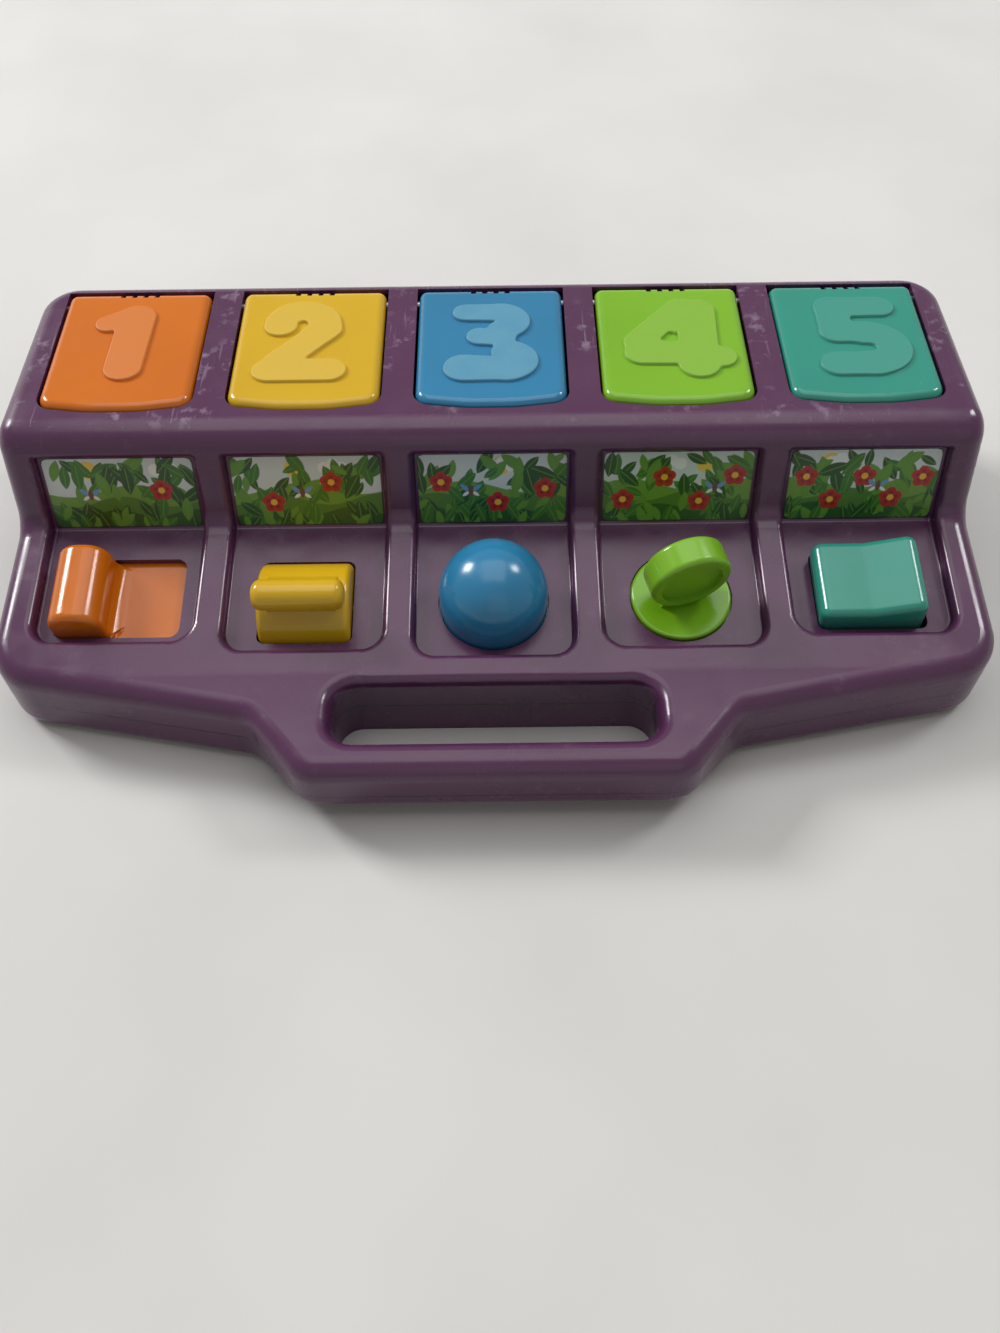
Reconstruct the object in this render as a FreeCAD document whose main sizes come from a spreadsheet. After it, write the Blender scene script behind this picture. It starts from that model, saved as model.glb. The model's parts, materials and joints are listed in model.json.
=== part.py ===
"""Pop-up animal toy: a moulded case with five numbered lids, each with its own catch and its own control.

Millimetres, +X right, +Y to the back, +Z up. The origin is at the middle of the underside.
"""

import FreeCAD, Part

import os
from math import asin, cos, pi, radians, sin, sqrt, tan
from types import SimpleNamespace

from FreeCAD import Placement, Rotation, Vector

os.makedirs("parts", exist_ok=True)
doc = FreeCAD.newDocument("pop_up_animal_toy")

# Driving sizes, in millimetres and degrees

SIZES = (
    ("case_width", 360.0, "across the sides at the front corners"),
    ("back_width", 353.0, "across the back corners"),
    ("back_reach", 100.0, "from the middle to the back wall"),
    ("handle_reach", 100.0, "from the middle to the front of the handle"),
    ("side_reach", 58.0, "from the middle to the front corners"),
    ("root_reach", 76.0, "from the middle to the roots of the handle"),
    ("deck_height", 76.0, "table to the deck round the lids"),
    ("parting_height", 15.5, "table to the line between the halves"),
    ("wall", 2.5, "thickness of the moulded walls"),
    ("back_corner", 15.0, "plan radius of the back corners"),
    ("front_corner", 18.0, "plan radius of the front corners"),
    ("top_round", 7.0, "radius along the upper rim"),
    ("low_round", 6.0, "radius along the lower rim"),
    ("nose_round", 11.0, "radius where the deck turns down"),
    ("foot_round", 8.0, "radius where the slope meets the floor"),
    ("slope_angle", 72.0, "slope of the picture wall"),
    ("floor_angle", 8.7, "fall of the bay floors towards the front"),
    ("floor_back", 5.5, "from the middle to the foot of the picture wall"),
    ("floor_height", 35.5, "table to the foot of the picture wall"),
    ("floor_step", 5.5, "height of the dividers over the floors"),
    ("wall_step", 4.0, "depth of the picture wall in its dividers"),
    ("picture_drop", 11.4, "deck down to the top of the picture wall"),
    ("handle_height", 31.5, "table to the top of the handle"),
    ("handle_lift", 6.5, "table to the underside of the handle"),
    ("root_width", 172.0, "across the roots of the handle"),
    ("handle_width", 132.0, "across the front of the handle"),
    ("handle_corner", 13.0, "plan radius of the handle's corners"),
    ("root_round", 12.0, "plan radius at the handle's roots"),
    ("grip_width", 114.0, "finger opening, side to side"),
    ("bar_depth", 13.0, "the handle's bar, front to back"),
    ("grip_back", 63.0, "from the middle to the opening's back"),
    ("grip_corner", 9.0, "plan radius of the opening's corners"),
    ("grip_edge", 4.5, "rounding of the opening's upper mouth"),
    ("bay_pitch", 68.5, "middle of one bay to the next"),
    ("bay_width", 57.4, "inside one bay"),
    ("bay_front", 51.0, "from the middle to the front of the middle bay"),
    ("bay_draw_in", 3.0, "how much less the bays either side reach"),
    ("end_bay_draw_in", 7.0, "how much less the end bays reach"),
    ("bay_corner", 8.0, "plan radius of the bays' front corners"),
    ("bay_root", 1.0, "rounding at the bottom of the bays"),
    ("bay_lip", 2.5, "rounding of the bays' mouths"),
    ("lid_width", 55.5, "across a lid"),
    ("lid_front", 28.5, "from the middle to a lid's front corners"),
    ("lid_bow", 2.7, "how far a lid's front edge bulges"),
    ("lid_rise", 1.3, "deck up to the top of the lids"),
    ("lid_skirt", 6.3, "depth of a lid's rim"),
    ("lid_wall", 2.1, "thickness of a lid"),
    ("lid_corner", 6.0, "plan radius of a lid's front corners"),
    ("lid_round", 3.2, "rounding of a lid's upper edges"),
    ("lid_gap", 0.8, "gap round a lid"),
    ("hinge_inset", 12.0, "back wall in to the hinge line"),
    ("hinge_drop", 3.5, "deck down to the hinge line"),
    ("pin_radius", 1.5, "steel hinge pin"),
    ("running_gap", 0.08, "radial play of a turning fit"),
    ("fixed_gap", 0.04, "radial play of a pressed or screwed fit"),
    ("seat_gap", 0.3, "play between pieces that slide past each other"),
    ("ear_thick", 3.0, "hinge ear, along the pin"),
    ("coil_radius", 3.0, "outside of a lid spring's coil"),
    ("coil_length", 11.0, "a lid spring's coil, along the pin"),
    ("notch_width", 2.0, "one slot of a lid's comb"),
    ("notch_pitch", 4.4, "one slot of the comb to the next"),
    ("notch_depth", 4.2, "length of a slot of the comb"),
    ("catch_width", 10.0, "a lid's catch, side to side"),
    ("catch_depth", 11.8, "lid top to the bottom of its catch"),
    ("hook_reach", 2.5, "how far a catch's hook stands out"),
    ("hook_thick", 1.8, "thickness of a hook or latch nose"),
    ("latch_width", 12.0, "a latch, side to side"),
    ("latch_thick", 2.4, "thickness of a latch's bar and riser"),
    ("latch_height", 8.0, "table to the underside of a latch's bar"),
    ("latch_back", 23.0, "from the middle to the back of a riser"),
    ("latch_travel", 2.6, "how far each latch draws forward"),
    ("sticker_width", 54.8, "one picture label"),
    ("sticker_inset", 0.9, "how much less a label's height is than its wall's rise"),
    ("sticker_thick", 0.3, "one picture label"),
    ("slot_width", 46.0, "the slider's opening, side to side"),
    ("slot_depth", 33.0, "the slider's opening, front to back"),
    ("slider_grip", 20.0, "the slider's ridge, side to side"),
    ("slider_height", 13.5, "the slider's ridge over the floor"),
    ("slider_travel", 20.0, "how far the slider moves"),
    ("plate_thick", 2.0, "the slider's plate"),
    ("lever_width", 33.4, "the flip lever, side to side"),
    ("drum_radius", 17.0, "the flip lever's turned base"),
    ("lever_bar", 11.0, "diameter of the flip lever's bar"),
    ("lever_rise", 17.5, "floor to the middle of the bar"),
    ("lever_lean", 7.0, "how far the bar leans to the front"),
    ("lever_swing", 35.0, "how far the flip lever turns"),
    ("button_width", 39.4, "diameter of the push button"),
    ("button_wall", 5.7, "the button's upright wall over the floor"),
    ("button_travel", 6.0, "how far the button goes down"),
    ("dial_width", 36.5, "diameter of the dial's disc"),
    ("coin_width", 29.6, "diameter of the dial's upright grip"),
    ("coin_thick", 11.0, "thickness of the grip"),
    ("coin_rise", 17.2, "floor to the middle of the grip"),
    ("coin_hollow", 1.8, "depth of the hollows in the grip's faces"),
    ("dial_rest", 15.0, "how the grip stands when its lid is shut"),
    ("dial_turn", 90.0, "how far the dial turns"),
    ("rocker_width", 38.0, "the rocker, side to side"),
    ("rocker_depth", 31.0, "the rocker, front to back"),
    ("rocker_rise", 10.0, "floor to the crease of the rocker"),
    ("rocker_tilt", 8.0, "tilt of the rocker, and of its two faces"),
    ("screw_radius", 1.5, "screws that join the halves"),
    ("post_radius", 4.2, "posts that take the screws"),
    ("neck_radius", 9.0, "an animal's neck"),
    ("head_radius", 16.0, "an animal's head"),
    ("head_back", 29.5, "from a lid's front corners to the middle of its head"),
    ("head_drop", 22.0, "a lid's roof down to the middle of its head"),
    ("lever_axis", -6.0, "floor to the flip lever's axis"),
    ("rocker_axis", -4.0, "floor to the rocker's axis"),
    ("trunnion_radius", 2.0, "stub shafts of the lever and the rocker"),
    ("trunnion_length", 3.0, "length of a stub shaft in its ear"),
    ("ear_wall", 2.0, "wall of an ear round its bore"),
    ("hole_corner", 3.0, "corners of the lever's and the rocker's openings"),
    ("slot_corner", 4.0, "corners of the slider's opening"),
    ("bay_lean", 6.0, "lean of a bay's front past square to its floor, in degrees"),
    ("lift_run", 14.0, "how far the underside takes to rise to the handle"),
    ("lift_bend", 12.0, "bends of that rise"),
    ("post_back", 58.0, "from the middle to the screws behind"),
    ("post_front", 50.0, "from the middle to the screws in front"),
    ("bore_length", 14.0, "depth of a post's bore"),
    ("screw_head", 2.8, "radius of a screw's head"),
    ("screw_head_thick", 2.0, "thickness of a screw's head"),
    ("screw_seat", 6.0, "table to the seat of a screw's head"),
    ("guide_front", 2.0, "from the middle to the front of a latch's guide"),
    ("guide_back", 14.0, "from the middle to the back of a latch's guide"),
    ("latch_reach", 38.0, "from the middle to the front of a latch's bar"),
    ("slider_fin", 2.0, "the slider's fin, back from its middle"),
    ("fin_depth", 5.0, "depth of the slider's fin under its plate"),
    ("tail_drop", 5.5, "the lever's axis to the middle of its tail's tip"),
    ("tail_radius", 1.6, "half the thickness of the lever's tail"),
    ("peg_radius", 2.5, "the dial's peg"),
    ("peg_out", 3.0, "the dial's axis to its peg"),
    ("peg_low", -14.0, "floor to the lower end of the dial's peg"),
    ("peg_play", 1.5, "the dial's peg to its latch at rest"),
    ("rocker_fin", -16.0, "floor to the lower end of the rocker's fin"),
    ("button_foot", -12.0, "floor to the lower end of the button's foot"),
    ("button_spring_out", 13.0, "the button's axis to each of its springs"),
    ("button_spring_radius", 3.2, "outside of the button's springs"),
    ("button_spring_bore", 2.4, "inside of the button's springs"),
    ("button_spring_foot", 8.0, "table to the seats of the button's springs"),
)

# Sizes that follow from those above

FOLLOWING = (
    ("picture_top", "deck_height - picture_drop", "table to the top of the picture wall"),
    ("sticker_height", "picture_top - floor_height - sticker_inset", "one picture label, up the slope"),
    ("grip_front", "handle_reach - bar_depth", "from the middle to the opening's front"),
    ("lid_top", "deck_height + lid_rise", "table to the top of the lids"),
    ("hinge_back", "back_reach - hinge_inset", "from the middle to the hinge line"),
    ("hinge_height", "deck_height - hinge_drop", "table to the hinge line"),
)

sheet = doc.addObject("Spreadsheet::Sheet", "sizes")
rows = [(alias, str(value), meaning) for alias, value, meaning in SIZES]
rows += [(alias, "=" + formula, meaning) for alias, formula, meaning in FOLLOWING]
for row, (alias, content, meaning) in enumerate(rows, start=1):
    sheet.set(f"A{row}", alias)
    sheet.set(f"B{row}", content)
    sheet.set(f"C{row}", meaning)
    sheet.setAlias(f"B{row}", alias)
doc.recompute()
S = SimpleNamespace(**{alias: float(sheet.get(alias)) for alias, _, _ in rows})

BAYS = range(5)
# How far a cutting tool reaches past the face that it cuts
CUT = 1.0
# Thickness of the dial's web, as a share of its grip's
WEB_SHARE = 0.6


# Outlines with rounded corners

def on_table(a, b):
    return Vector(a, b, 0)


def on_side(a, b):
    return Vector(0, a, b)


def on_front(a, b):
    return Vector(a, 0, b)


def heading(a, b):
    """Unit direction from corner a to corner b."""
    return Vector(b[0] - a[0], b[1] - a[1], 0).normalize()


def outline_edges(corners, to_space):
    """Lines and tangent arcs through (across, up, radius) corners, as a closed run of edges."""
    bends = []
    for i, (across, up, radius) in enumerate(corners):
        before = heading(corners[i - 1], corners[i])
        after = heading(corners[i], corners[(i + 1) % len(corners)])
        turn = before.getAngle(after)
        corner = Vector(across, up, 0)
        if radius <= 0:
            bends.append((corner, None, corner))
            continue
        reach = radius * tan(turn / 2)
        inward = (after - before).normalize()
        crown = corner + inward * (radius / cos(turn / 2) - radius)
        bends.append((corner - before * reach, crown, corner + after * reach))
    edges = []
    for i, (start, crown, end) in enumerate(bends):
        if crown is not None:
            points = [to_space(p.x, p.y) for p in (start, crown, end)]
            edges.append(Part.Arc(*points).toShape())
        following = bends[(i + 1) % len(bends)][0]
        if (following - end).Length > 1e-6:
            edges.append(Part.makeLine(to_space(end.x, end.y), to_space(following.x, following.y)))
    return edges


def drawn_in(corners, distance):
    """The same anticlockwise outline, this far inside itself."""
    moved = []
    for i, (across, up, radius) in enumerate(corners):
        before = heading(corners[i - 1], corners[i])
        after = heading(corners[i], corners[(i + 1) % len(corners)])
        inward = Vector(-before.y - after.y, before.x + after.x, 0)
        shift = inward * (distance / (1 + before.dot(after)))
        bulges = before.x * after.y > before.y * after.x
        rounder = radius - distance if bulges else radius + distance
        moved.append((across + shift.x, up + shift.y, max(rounder, 0.0) if radius > 0 else 0.0))
    return moved


def prism(corners, to_space, start, length):
    """A straight block on a rounded outline, from start, of this length along the outline's normal."""
    face = Part.Face(Part.Wire(outline_edges(corners, to_space)))
    normal = {on_table: Vector(0, 0, 1), on_side: Vector(1, 0, 0), on_front: Vector(0, 1, 0)}[to_space]
    block = face.extrude(normal * length)
    block.translate(normal * start)
    return block


def rectangle(left, right, low, high, radius=0.0):
    """Corners of a rectangle, anticlockwise."""
    return [(left, low, radius), (right, low, radius), (right, high, radius), (left, high, radius)]


def box(left, right, front, back, low, high):
    return Part.makeBox(right - left, back - front, high - low, Vector(left, front, low))


def rod(radius, start, end):
    """A round bar between two points."""
    return Part.makeCylinder(radius, (end - start).Length, start, end - start)


def middle_of(edge):
    return edge.valueAt((edge.FirstParameter + edge.LastParameter) / 2)


def rings(form):
    """The whole circles among a form's edges."""
    return [edge for edge in form.Edges if edge.Closed and edge.Curve.TypeId == "Part::GeomCircle"]


def middle_normal(face):
    low_u, high_u, low_v, high_v = face.ParameterRange
    return face.normalAt((low_u + high_u) / 2, (low_v + high_v) / 2)


def touches(shell, point):
    return shell.distToShape(Part.Vertex(point))[0] < 1e-3


# Lines of the case, seen from the side

slope = radians(S.slope_angle)
fall = radians(S.floor_angle)
UP_SLOPE = Vector(cos(slope), sin(slope), 0)
OFF_SLOPE = Vector(-sin(slope), cos(slope), 0)
UP_FLOOR = Vector(cos(fall), sin(fall), 0)
OFF_FLOOR = Vector(-sin(fall), cos(fall), 0)
FOOT = Vector(S.floor_back, S.floor_height, 0)


def crossing(start, along, other, other_along):
    """Where two lines in the side view meet."""
    gap = other - start
    turn = along.x * other_along.y - along.y * other_along.x
    return start + along * ((gap.x * other_along.y - gap.y * other_along.x) / turn)


def floor_height(y):
    """Height of the bay floors at this depth."""
    return S.floor_height + (y - S.floor_back) * tan(fall)


def side_profile():
    """The case from the side: deck, nose, slope, dividers' tops, handle, raised underside."""
    level = Vector(1, 0, 0)
    rim_slope = FOOT + OFF_SLOPE * S.wall_step
    rim_floor = FOOT + OFF_FLOOR * S.floor_step
    nose = crossing(rim_slope, UP_SLOPE, Vector(0, S.deck_height, 0), level)
    foot = crossing(rim_slope, UP_SLOPE, rim_floor, UP_FLOOR)
    bend = crossing(rim_floor, UP_FLOOR, Vector(0, S.handle_height, 0), level)
    past = S.back_reach + S.handle_reach
    lift_end = S.grip_front - CUT
    lift_start = lift_end - S.lift_run
    return [
        (past, 0, 0),
        (past, S.deck_height, 0),
        (nose.x, nose.y, S.nose_round),
        (foot.x, foot.y, S.foot_round),
        (bend.x, bend.y, 5 * S.foot_round),
        (-past, S.handle_height, 0),
        (-past, S.handle_lift, 0),
        (-lift_end, S.handle_lift, S.lift_bend),
        (-lift_start, 0, S.lift_bend),
    ]


def mirrored(right):
    """A right half, from front to back, and its mirror image."""
    return right + [(-across, up, radius) for across, up, radius in reversed(right)]


def plan_outline():
    """The case from above."""
    return mirrored([
        (S.handle_width / 2, -S.handle_reach, S.handle_corner),
        (S.root_width / 2, -S.root_reach, S.root_round),
        (S.case_width / 2, -S.side_reach, S.front_corner),
        (S.back_width / 2, S.back_reach, S.back_corner),
    ])


def rim_edges(form, low, high):
    """Edges between the upright walls and the rest, between two heights."""
    found = []
    for edge in form.Edges:
        upright = [abs(middle_normal(face).z) < 1e-6 for face in form.ancestorsOfType(edge, Part.Face)]
        if upright.count(True) == 1 and low < edge.CenterOfMass.z < high:
            found.append(edge)
    return found


def case_form(inset):
    """The whole case as a plain block with soft rims, drawn in by the inset on every side."""
    deep = S.deck_height + 2 * S.wall
    block = prism(drawn_in(plan_outline(), inset), on_table, -S.wall, deep)
    side = prism(drawn_in(side_profile(), inset), on_side, -S.case_width, 2 * S.case_width)
    form = block.common(side).removeSplitter()
    form = form.makeFillet(S.top_round - inset, rim_edges(form, S.parting_height, S.deck_height + CUT))
    return form.makeFillet(S.low_round - inset, rim_edges(form, -CUT, S.parting_height))


def bay_middle(bay):
    return (bay - 2) * S.bay_pitch


def bay_reach(bay):
    """From the middle of the toy to the front of this bay."""
    steps = abs(bay - 2)
    return S.bay_front - (0.0, S.bay_draw_in, S.end_bay_draw_in)[steps]


def bay_tool(bay, grow=0.0):
    """What a bay cuts away: slope, floor and a leaning front, with rounded roots where grow is 0."""
    middle = bay_middle(bay)
    side = S.bay_width / 2
    lean = fall + radians(S.bay_lean)
    above = S.deck_height - S.floor_height
    top = FOOT + UP_SLOPE * ((S.picture_top - S.floor_height) / sin(slope))
    front = Vector(-bay_reach(bay), floor_height(-bay_reach(bay)), 0)
    front_top = front + Vector(-sin(lean), cos(lean), 0) * above
    top_out = top + OFF_SLOPE * above
    corners = [(front.x, front.y, 0), (FOOT.x, FOOT.y, 1.5 * S.bay_root), (top.x, top.y, S.bay_root),
               (top_out.x, top_out.y, 0), (front_top.x, front_top.y, 0)]
    tool = prism(drawn_in(corners, -grow), on_side, middle - side - grow, S.bay_width + 2 * grow)
    if grow:
        return tool
    upright = (front + front_top) * 0.5

    def in_front(point):
        return abs(point.x - upright.x) < CUT and abs(point.y - upright.y) < CUT

    corner_edges = []
    for edge in tool.Edges:
        at = middle_of(edge)
        if in_front(Vector(at.y, at.z, 0)) and abs(abs(at.x - middle) - side) < 1e-6:
            corner_edges.append(edge)
    tool = tool.makeFillet(S.bay_corner, corner_edges)
    root_edges = []
    for edge in tool.Edges:
        at = middle_of(edge)
        flanks = [abs(middle_normal(face).x) > 0.999 for face in tool.ancestorsOfType(edge, Part.Face)]
        beside = flanks.count(True) == 1 and at.z < S.picture_top + S.bay_root
        beside = beside and not in_front(Vector(at.y, at.z, 0))
        across = abs(at.z - floor_height(at.y)) < 0.05 and at.y < -bay_reach(bay) + S.bay_corner
        if beside or across:
            root_edges.append(edge)
    return tool.makeFillet(S.bay_root, root_edges)


def grip_tool(grow=0.0):
    """The finger opening of the handle, through everything."""
    corner = min(S.grip_corner, 0.45 * (S.grip_front - S.grip_back))
    corners = rectangle(-S.grip_width / 2, S.grip_width / 2, -S.grip_front, -S.grip_back, corner)
    return prism(drawn_in(corners, -grow), on_table, -CUT, S.deck_height)


def lid_outline(grow=0.0):
    """A lid from above, about its own middle: straight back, rounded corners, bulging front."""
    half = S.lid_width / 2
    front = S.lid_front
    corners = mirrored([
        (half / 3, front - S.lid_bow, 2 * half),
        (half, front, S.lid_corner),
        (half, S.hinge_back, 0),
    ])
    return drawn_in(corners, -grow)


def barrel_radius():
    return S.lid_top - S.hinge_height


def lid_opening(bay):
    """The hole in the deck that a lid closes."""
    hole = lid_outline(S.lid_gap)
    back = S.hinge_back + barrel_radius() + S.lid_gap
    hole = [(x, back if y > S.hinge_back else y, radius) for x, y, radius in hole]
    tool = prism(hole, on_table, S.deck_height - 2 * S.wall, 3 * S.wall)
    tool.translate(Vector(bay_middle(bay), 0, 0))
    return tool


# Places of the actuators: middle of the opening, and the fall of the floor

SLIDER, LEVER, BUTTON, DIAL, ROCKER = BAYS
STATION_DEPTH = {SLIDER: -24.5, LEVER: -27.0, BUTTON: -27.5, DIAL: -26.5, ROCKER: -25.0}


def station(bay):
    """Local frame of an actuator: z is square to the floor, y runs up it, the origin is on it."""
    depth = STATION_DEPTH[bay]
    turn = Rotation(Vector(1, 0, 0), S.floor_angle)
    return Placement(Vector(bay_middle(bay), depth, floor_height(depth)), turn)


def at_station(shape, bay):
    """The shape, moved from an actuator's local frame into the toy."""
    placed = shape.copy()
    placed.Placement = station(bay).multiply(placed.Placement)
    return placed


def floor_openings():
    """The five holes in the bay floors, one for each actuator, in the toy."""
    deep = 3 * S.wall
    slot = prism(rectangle(-S.slot_width / 2, S.slot_width / 2, -S.slot_depth / 2, S.slot_depth / 2,
                           S.slot_corner),
                 on_table, -deep, 2 * deep)
    across = S.lever_width / 2 + 2 * S.seat_gap
    reach = sqrt(S.drum_radius ** 2 - S.lever_axis ** 2) + 4 * S.seat_gap
    lever = prism(rectangle(-across, across, -reach, reach, S.hole_corner), on_table, -deep, 2 * deep)
    button = Part.makeCylinder(S.button_width / 2 + 2 * S.seat_gap, 2 * deep, Vector(0, 0, -deep))
    dial = Part.makeCylinder(S.dial_width / 2 + 2 * S.seat_gap, 2 * deep, Vector(0, 0, -deep))
    across = S.rocker_width / 2 + 3 * S.seat_gap
    reach = S.rocker_depth / 2 + 2 * S.seat_gap
    rocker = prism(rectangle(-across, across, -reach, reach, S.hole_corner), on_table, -deep, 2 * deep)
    tools = (slot, lever, button, dial, rocker)
    return [at_station(tool, bay) for bay, tool in zip(BAYS, tools)]


def hinge_ears():
    """Two ears under the deck for each lid's pin, bored for it."""
    ears = []
    inner = S.lid_width / 2 + S.lid_gap
    reach = S.pin_radius + S.ear_wall
    for bay in BAYS:
        for side in (-1, 1):
            start = bay_middle(bay) + side * inner
            left, right = sorted((start, start + side * S.ear_thick))
            ear = box(left, right, S.hinge_back - reach, S.hinge_back + reach,
                      S.hinge_height - reach, S.deck_height - S.wall / 2)
            bore = rod(S.pin_radius + S.fixed_gap, Vector(left - CUT, S.hinge_back, S.hinge_height),
                       Vector(right + CUT, S.hinge_back, S.hinge_height))
            ears.append((ear, bore))
    return ears


def trunnion_ears():
    """Ears under the floor that carry the flip lever and the rocker."""
    pairs = []
    inner = S.lever_width / 2 + 3 * S.seat_gap
    reach = S.trunnion_radius + S.ear_wall
    for side in (-1, 1):
        left, right = sorted((side * inner, side * (inner + S.trunnion_length)))
        ear = box(left, right, -reach, reach, S.lever_axis - reach, -S.wall / 2)
        bore = rod(S.trunnion_radius + S.running_gap, Vector(left - CUT, 0, S.lever_axis),
                   Vector(right + CUT, 0, S.lever_axis))
        pairs.append((at_station(ear, LEVER), at_station(bore, LEVER)))
    inner = S.rocker_depth / 2 + 3 * S.seat_gap
    for side in (-1, 1):
        front, back = sorted((side * inner, side * (inner + S.trunnion_length)))
        ear = box(-reach, reach, front, back, S.rocker_axis - reach, -S.wall / 2)
        bore = rod(S.trunnion_radius + S.running_gap, Vector(0, front - CUT, S.rocker_axis),
                   Vector(0, back + CUT, S.rocker_axis))
        pairs.append((at_station(ear, ROCKER), at_station(bore, ROCKER)))
    return pairs


def post_places():
    """Where screws join the halves: between the bays, behind and in front."""
    behind = [(step * S.bay_pitch, S.post_back) for step in (-1.5, -0.5, 0.5, 1.5)]
    before = [(step * S.bay_pitch, -S.post_front) for step in (-1.5, 1.5)]
    return behind + before


def screw_posts():
    """Posts from the parting line up to the roof, each bored for its screw."""
    posts = []
    for x, y in post_places():
        roof = S.deck_height - S.wall / 2 if y > 0 else floor_height(y) + S.floor_step - S.wall
        foot = Vector(x, y, S.parting_height)
        post = rod(S.post_radius, foot, Vector(x, y, roof))
        bore = rod(S.screw_radius + S.fixed_gap, foot - Vector(0, 0, CUT),
                   foot + Vector(0, 0, S.bore_length))
        posts.append((post, bore))
    return posts


def upper_half(form):
    return form.common(box(-S.case_width, S.case_width, -S.case_width, S.case_width,
                           S.parting_height, 2 * S.deck_height))


def lower_half(form):
    return form.common(box(-S.case_width, S.case_width, -S.case_width, S.case_width,
                           -S.deck_height, S.parting_height))


def mouth_edges(body, skin, tools, low):
    """Edges where the tools break through the outer skin, above a height."""
    found = []
    for edge in body.Edges:
        at = middle_of(edge)
        if at.z < low or not touches(skin, at):
            continue
        if min(tool.Shells[0].distToShape(Part.Vertex(at))[0] for tool in tools) < 1e-3:
            found.append(edge)
    return found


def make_top_case():
    """The upper shell: one wall all over, with five bays, their openings, ears and posts."""
    skin = case_form(0.0)
    bays = [bay_tool(bay) for bay in BAYS]
    body = skin.cut(bays)
    body = body.makeFillet(S.bay_lip, mouth_edges(body, skin.Shells[0], bays, S.parting_height))
    grip = grip_tool()
    body = body.cut(grip)
    body = body.makeFillet(S.grip_edge, mouth_edges(body, skin.Shells[0], [grip], S.parting_height))
    hollow = case_form(S.wall).cut([bay_tool(bay, S.wall) for bay in BAYS] + [grip_tool(S.wall)])
    body = upper_half(body).cut(hollow)
    fittings = hinge_ears() + trunnion_ears() + screw_posts()
    body = body.fuse([piece for piece, _ in fittings])
    body = body.cut([bore for _, bore in fittings])
    body = body.cut([lid_opening(bay) for bay in BAYS])
    return body.cut(floor_openings())


def guide_block(bay):
    """A channel on the lower shell that a latch's bar slides in."""
    middle = bay_middle(bay)
    half = S.latch_width / 2 + S.seat_gap
    outer = half + S.wall
    front = -S.guide_front
    back = S.guide_back
    top = S.latch_height + S.latch_thick
    block = box(middle - outer, middle + outer, front, back, S.wall / 2, top)
    channel = box(middle - half, middle + half, front - CUT, back + CUT,
                  S.latch_height - S.seat_gap, top + CUT)
    return block.cut(channel)


def make_bottom_case():
    """The lower shell: a tray with the screws' bosses and the latches' guides."""
    skin = case_form(0.0)
    grip = grip_tool()
    body = lower_half(skin.cut(grip))
    hollow = case_form(S.wall).cut(grip_tool(S.wall))
    body = body.cut(hollow)
    bosses = [rod(S.post_radius, Vector(x, y, S.wall / 2), Vector(x, y, S.parting_height))
              for x, y in post_places()]
    body = body.fuse(bosses + [guide_block(bay) for bay in BAYS] + [button_seat()])
    sinks = []
    for x, y in post_places():
        sinks.append(rod(S.screw_head + S.seat_gap, Vector(x, y, -CUT), Vector(x, y, S.screw_seat)))
        sinks.append(rod(S.screw_radius + S.running_gap, Vector(x, y, 0),
                         Vector(x, y, S.parting_height + CUT)))
    return body.cut(sinks)


def spring_axis(side):
    """Where one of the button's two springs stands, at the height of its seat."""
    place = station(BUTTON).Base
    return Vector(place.x + side * S.button_spring_out, place.y, 0)


def button_seat():
    """Two round seats on the lower shell under the button's springs."""
    seats = [rod(S.button_spring_radius + 1.0, spring_axis(side) + Vector(0, 0, S.wall / 2),
                 spring_axis(side) + Vector(0, 0, S.button_spring_foot)) for side in (-1, 1)]
    return seats[0].fuse(seats[1])


# Objects of the document

def add_shape(label, shape):
    """A sub-part whose form is worked out above."""
    part = doc.addObject("Part::Feature", label)
    part.Label = label
    part.Shape = shape.removeSplitter()
    return part


def add_primitive(kind, label, placement=None, **sizes):
    """A primitive with each size bound to the sheet by an expression."""
    part = doc.addObject(kind, label)
    part.Label = label
    for name, expression in sizes.items():
        part.setExpression(name, expression)
    if placement is not None:
        part.Placement = placement
    return part


def add_cut(label, base, tool):
    part = doc.addObject("Part::Cut", label)
    part.Label = label
    part.Base = base
    part.Tool = tool
    return part


def add_fusion(label, pieces):
    part = doc.addObject("Part::MultiFuse", label)
    part.Label = label
    part.Shapes = pieces
    part.Refine = True
    return part


def new_body(label, placement=None):
    body = doc.addObject("PartDesign::Body", label)
    body.Label = label
    if placement is not None:
        body.Placement = placement
    return body


PLANES = {"XY": "XY_Plane", "XZ": "XZ_Plane", "YZ": "YZ_Plane"}


def sketch_on(body, plane, corners, offset=0.0, circles=()):
    """A sketch on one of the body's own planes, with a rounded outline or circles."""
    sketch = body.newObject("Sketcher::SketchObject", body.Label + "_sketch")
    role = PLANES[plane]
    support = [item for item in body.Origin.OriginFeatures if item.Role == role][0]
    sketch.AttachmentSupport = [(support, "")]
    sketch.MapMode = "FlatFace"
    sketch.AttachmentOffset = Placement(Vector(0, 0, offset), Rotation())
    if corners:
        sketch.addGeometry([edge.Curve.trim(edge.FirstParameter, edge.LastParameter)
                            if edge.Curve.TypeId == "Part::GeomLine"
                            else Part.ArcOfCircle(edge.Curve, edge.FirstParameter, edge.LastParameter)
                            for edge in outline_edges(corners, on_table)], False)
    for x, y, radius in circles:
        sketch.addGeometry(Part.Circle(Vector(x, y, 0), Vector(0, 0, 1), radius), False)
    return sketch


def grown(body, kind, sketch, length, reverse=False):
    """A pad or pocket of this length, which may be an expression."""
    feature = body.newObject("PartDesign::" + kind, body.Label + "_" + kind.lower())
    feature.Profile = sketch
    if isinstance(length, str):
        feature.setExpression("Length", length)
    else:
        feature.Length = length
    feature.Reversed = reverse
    return feature


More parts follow.
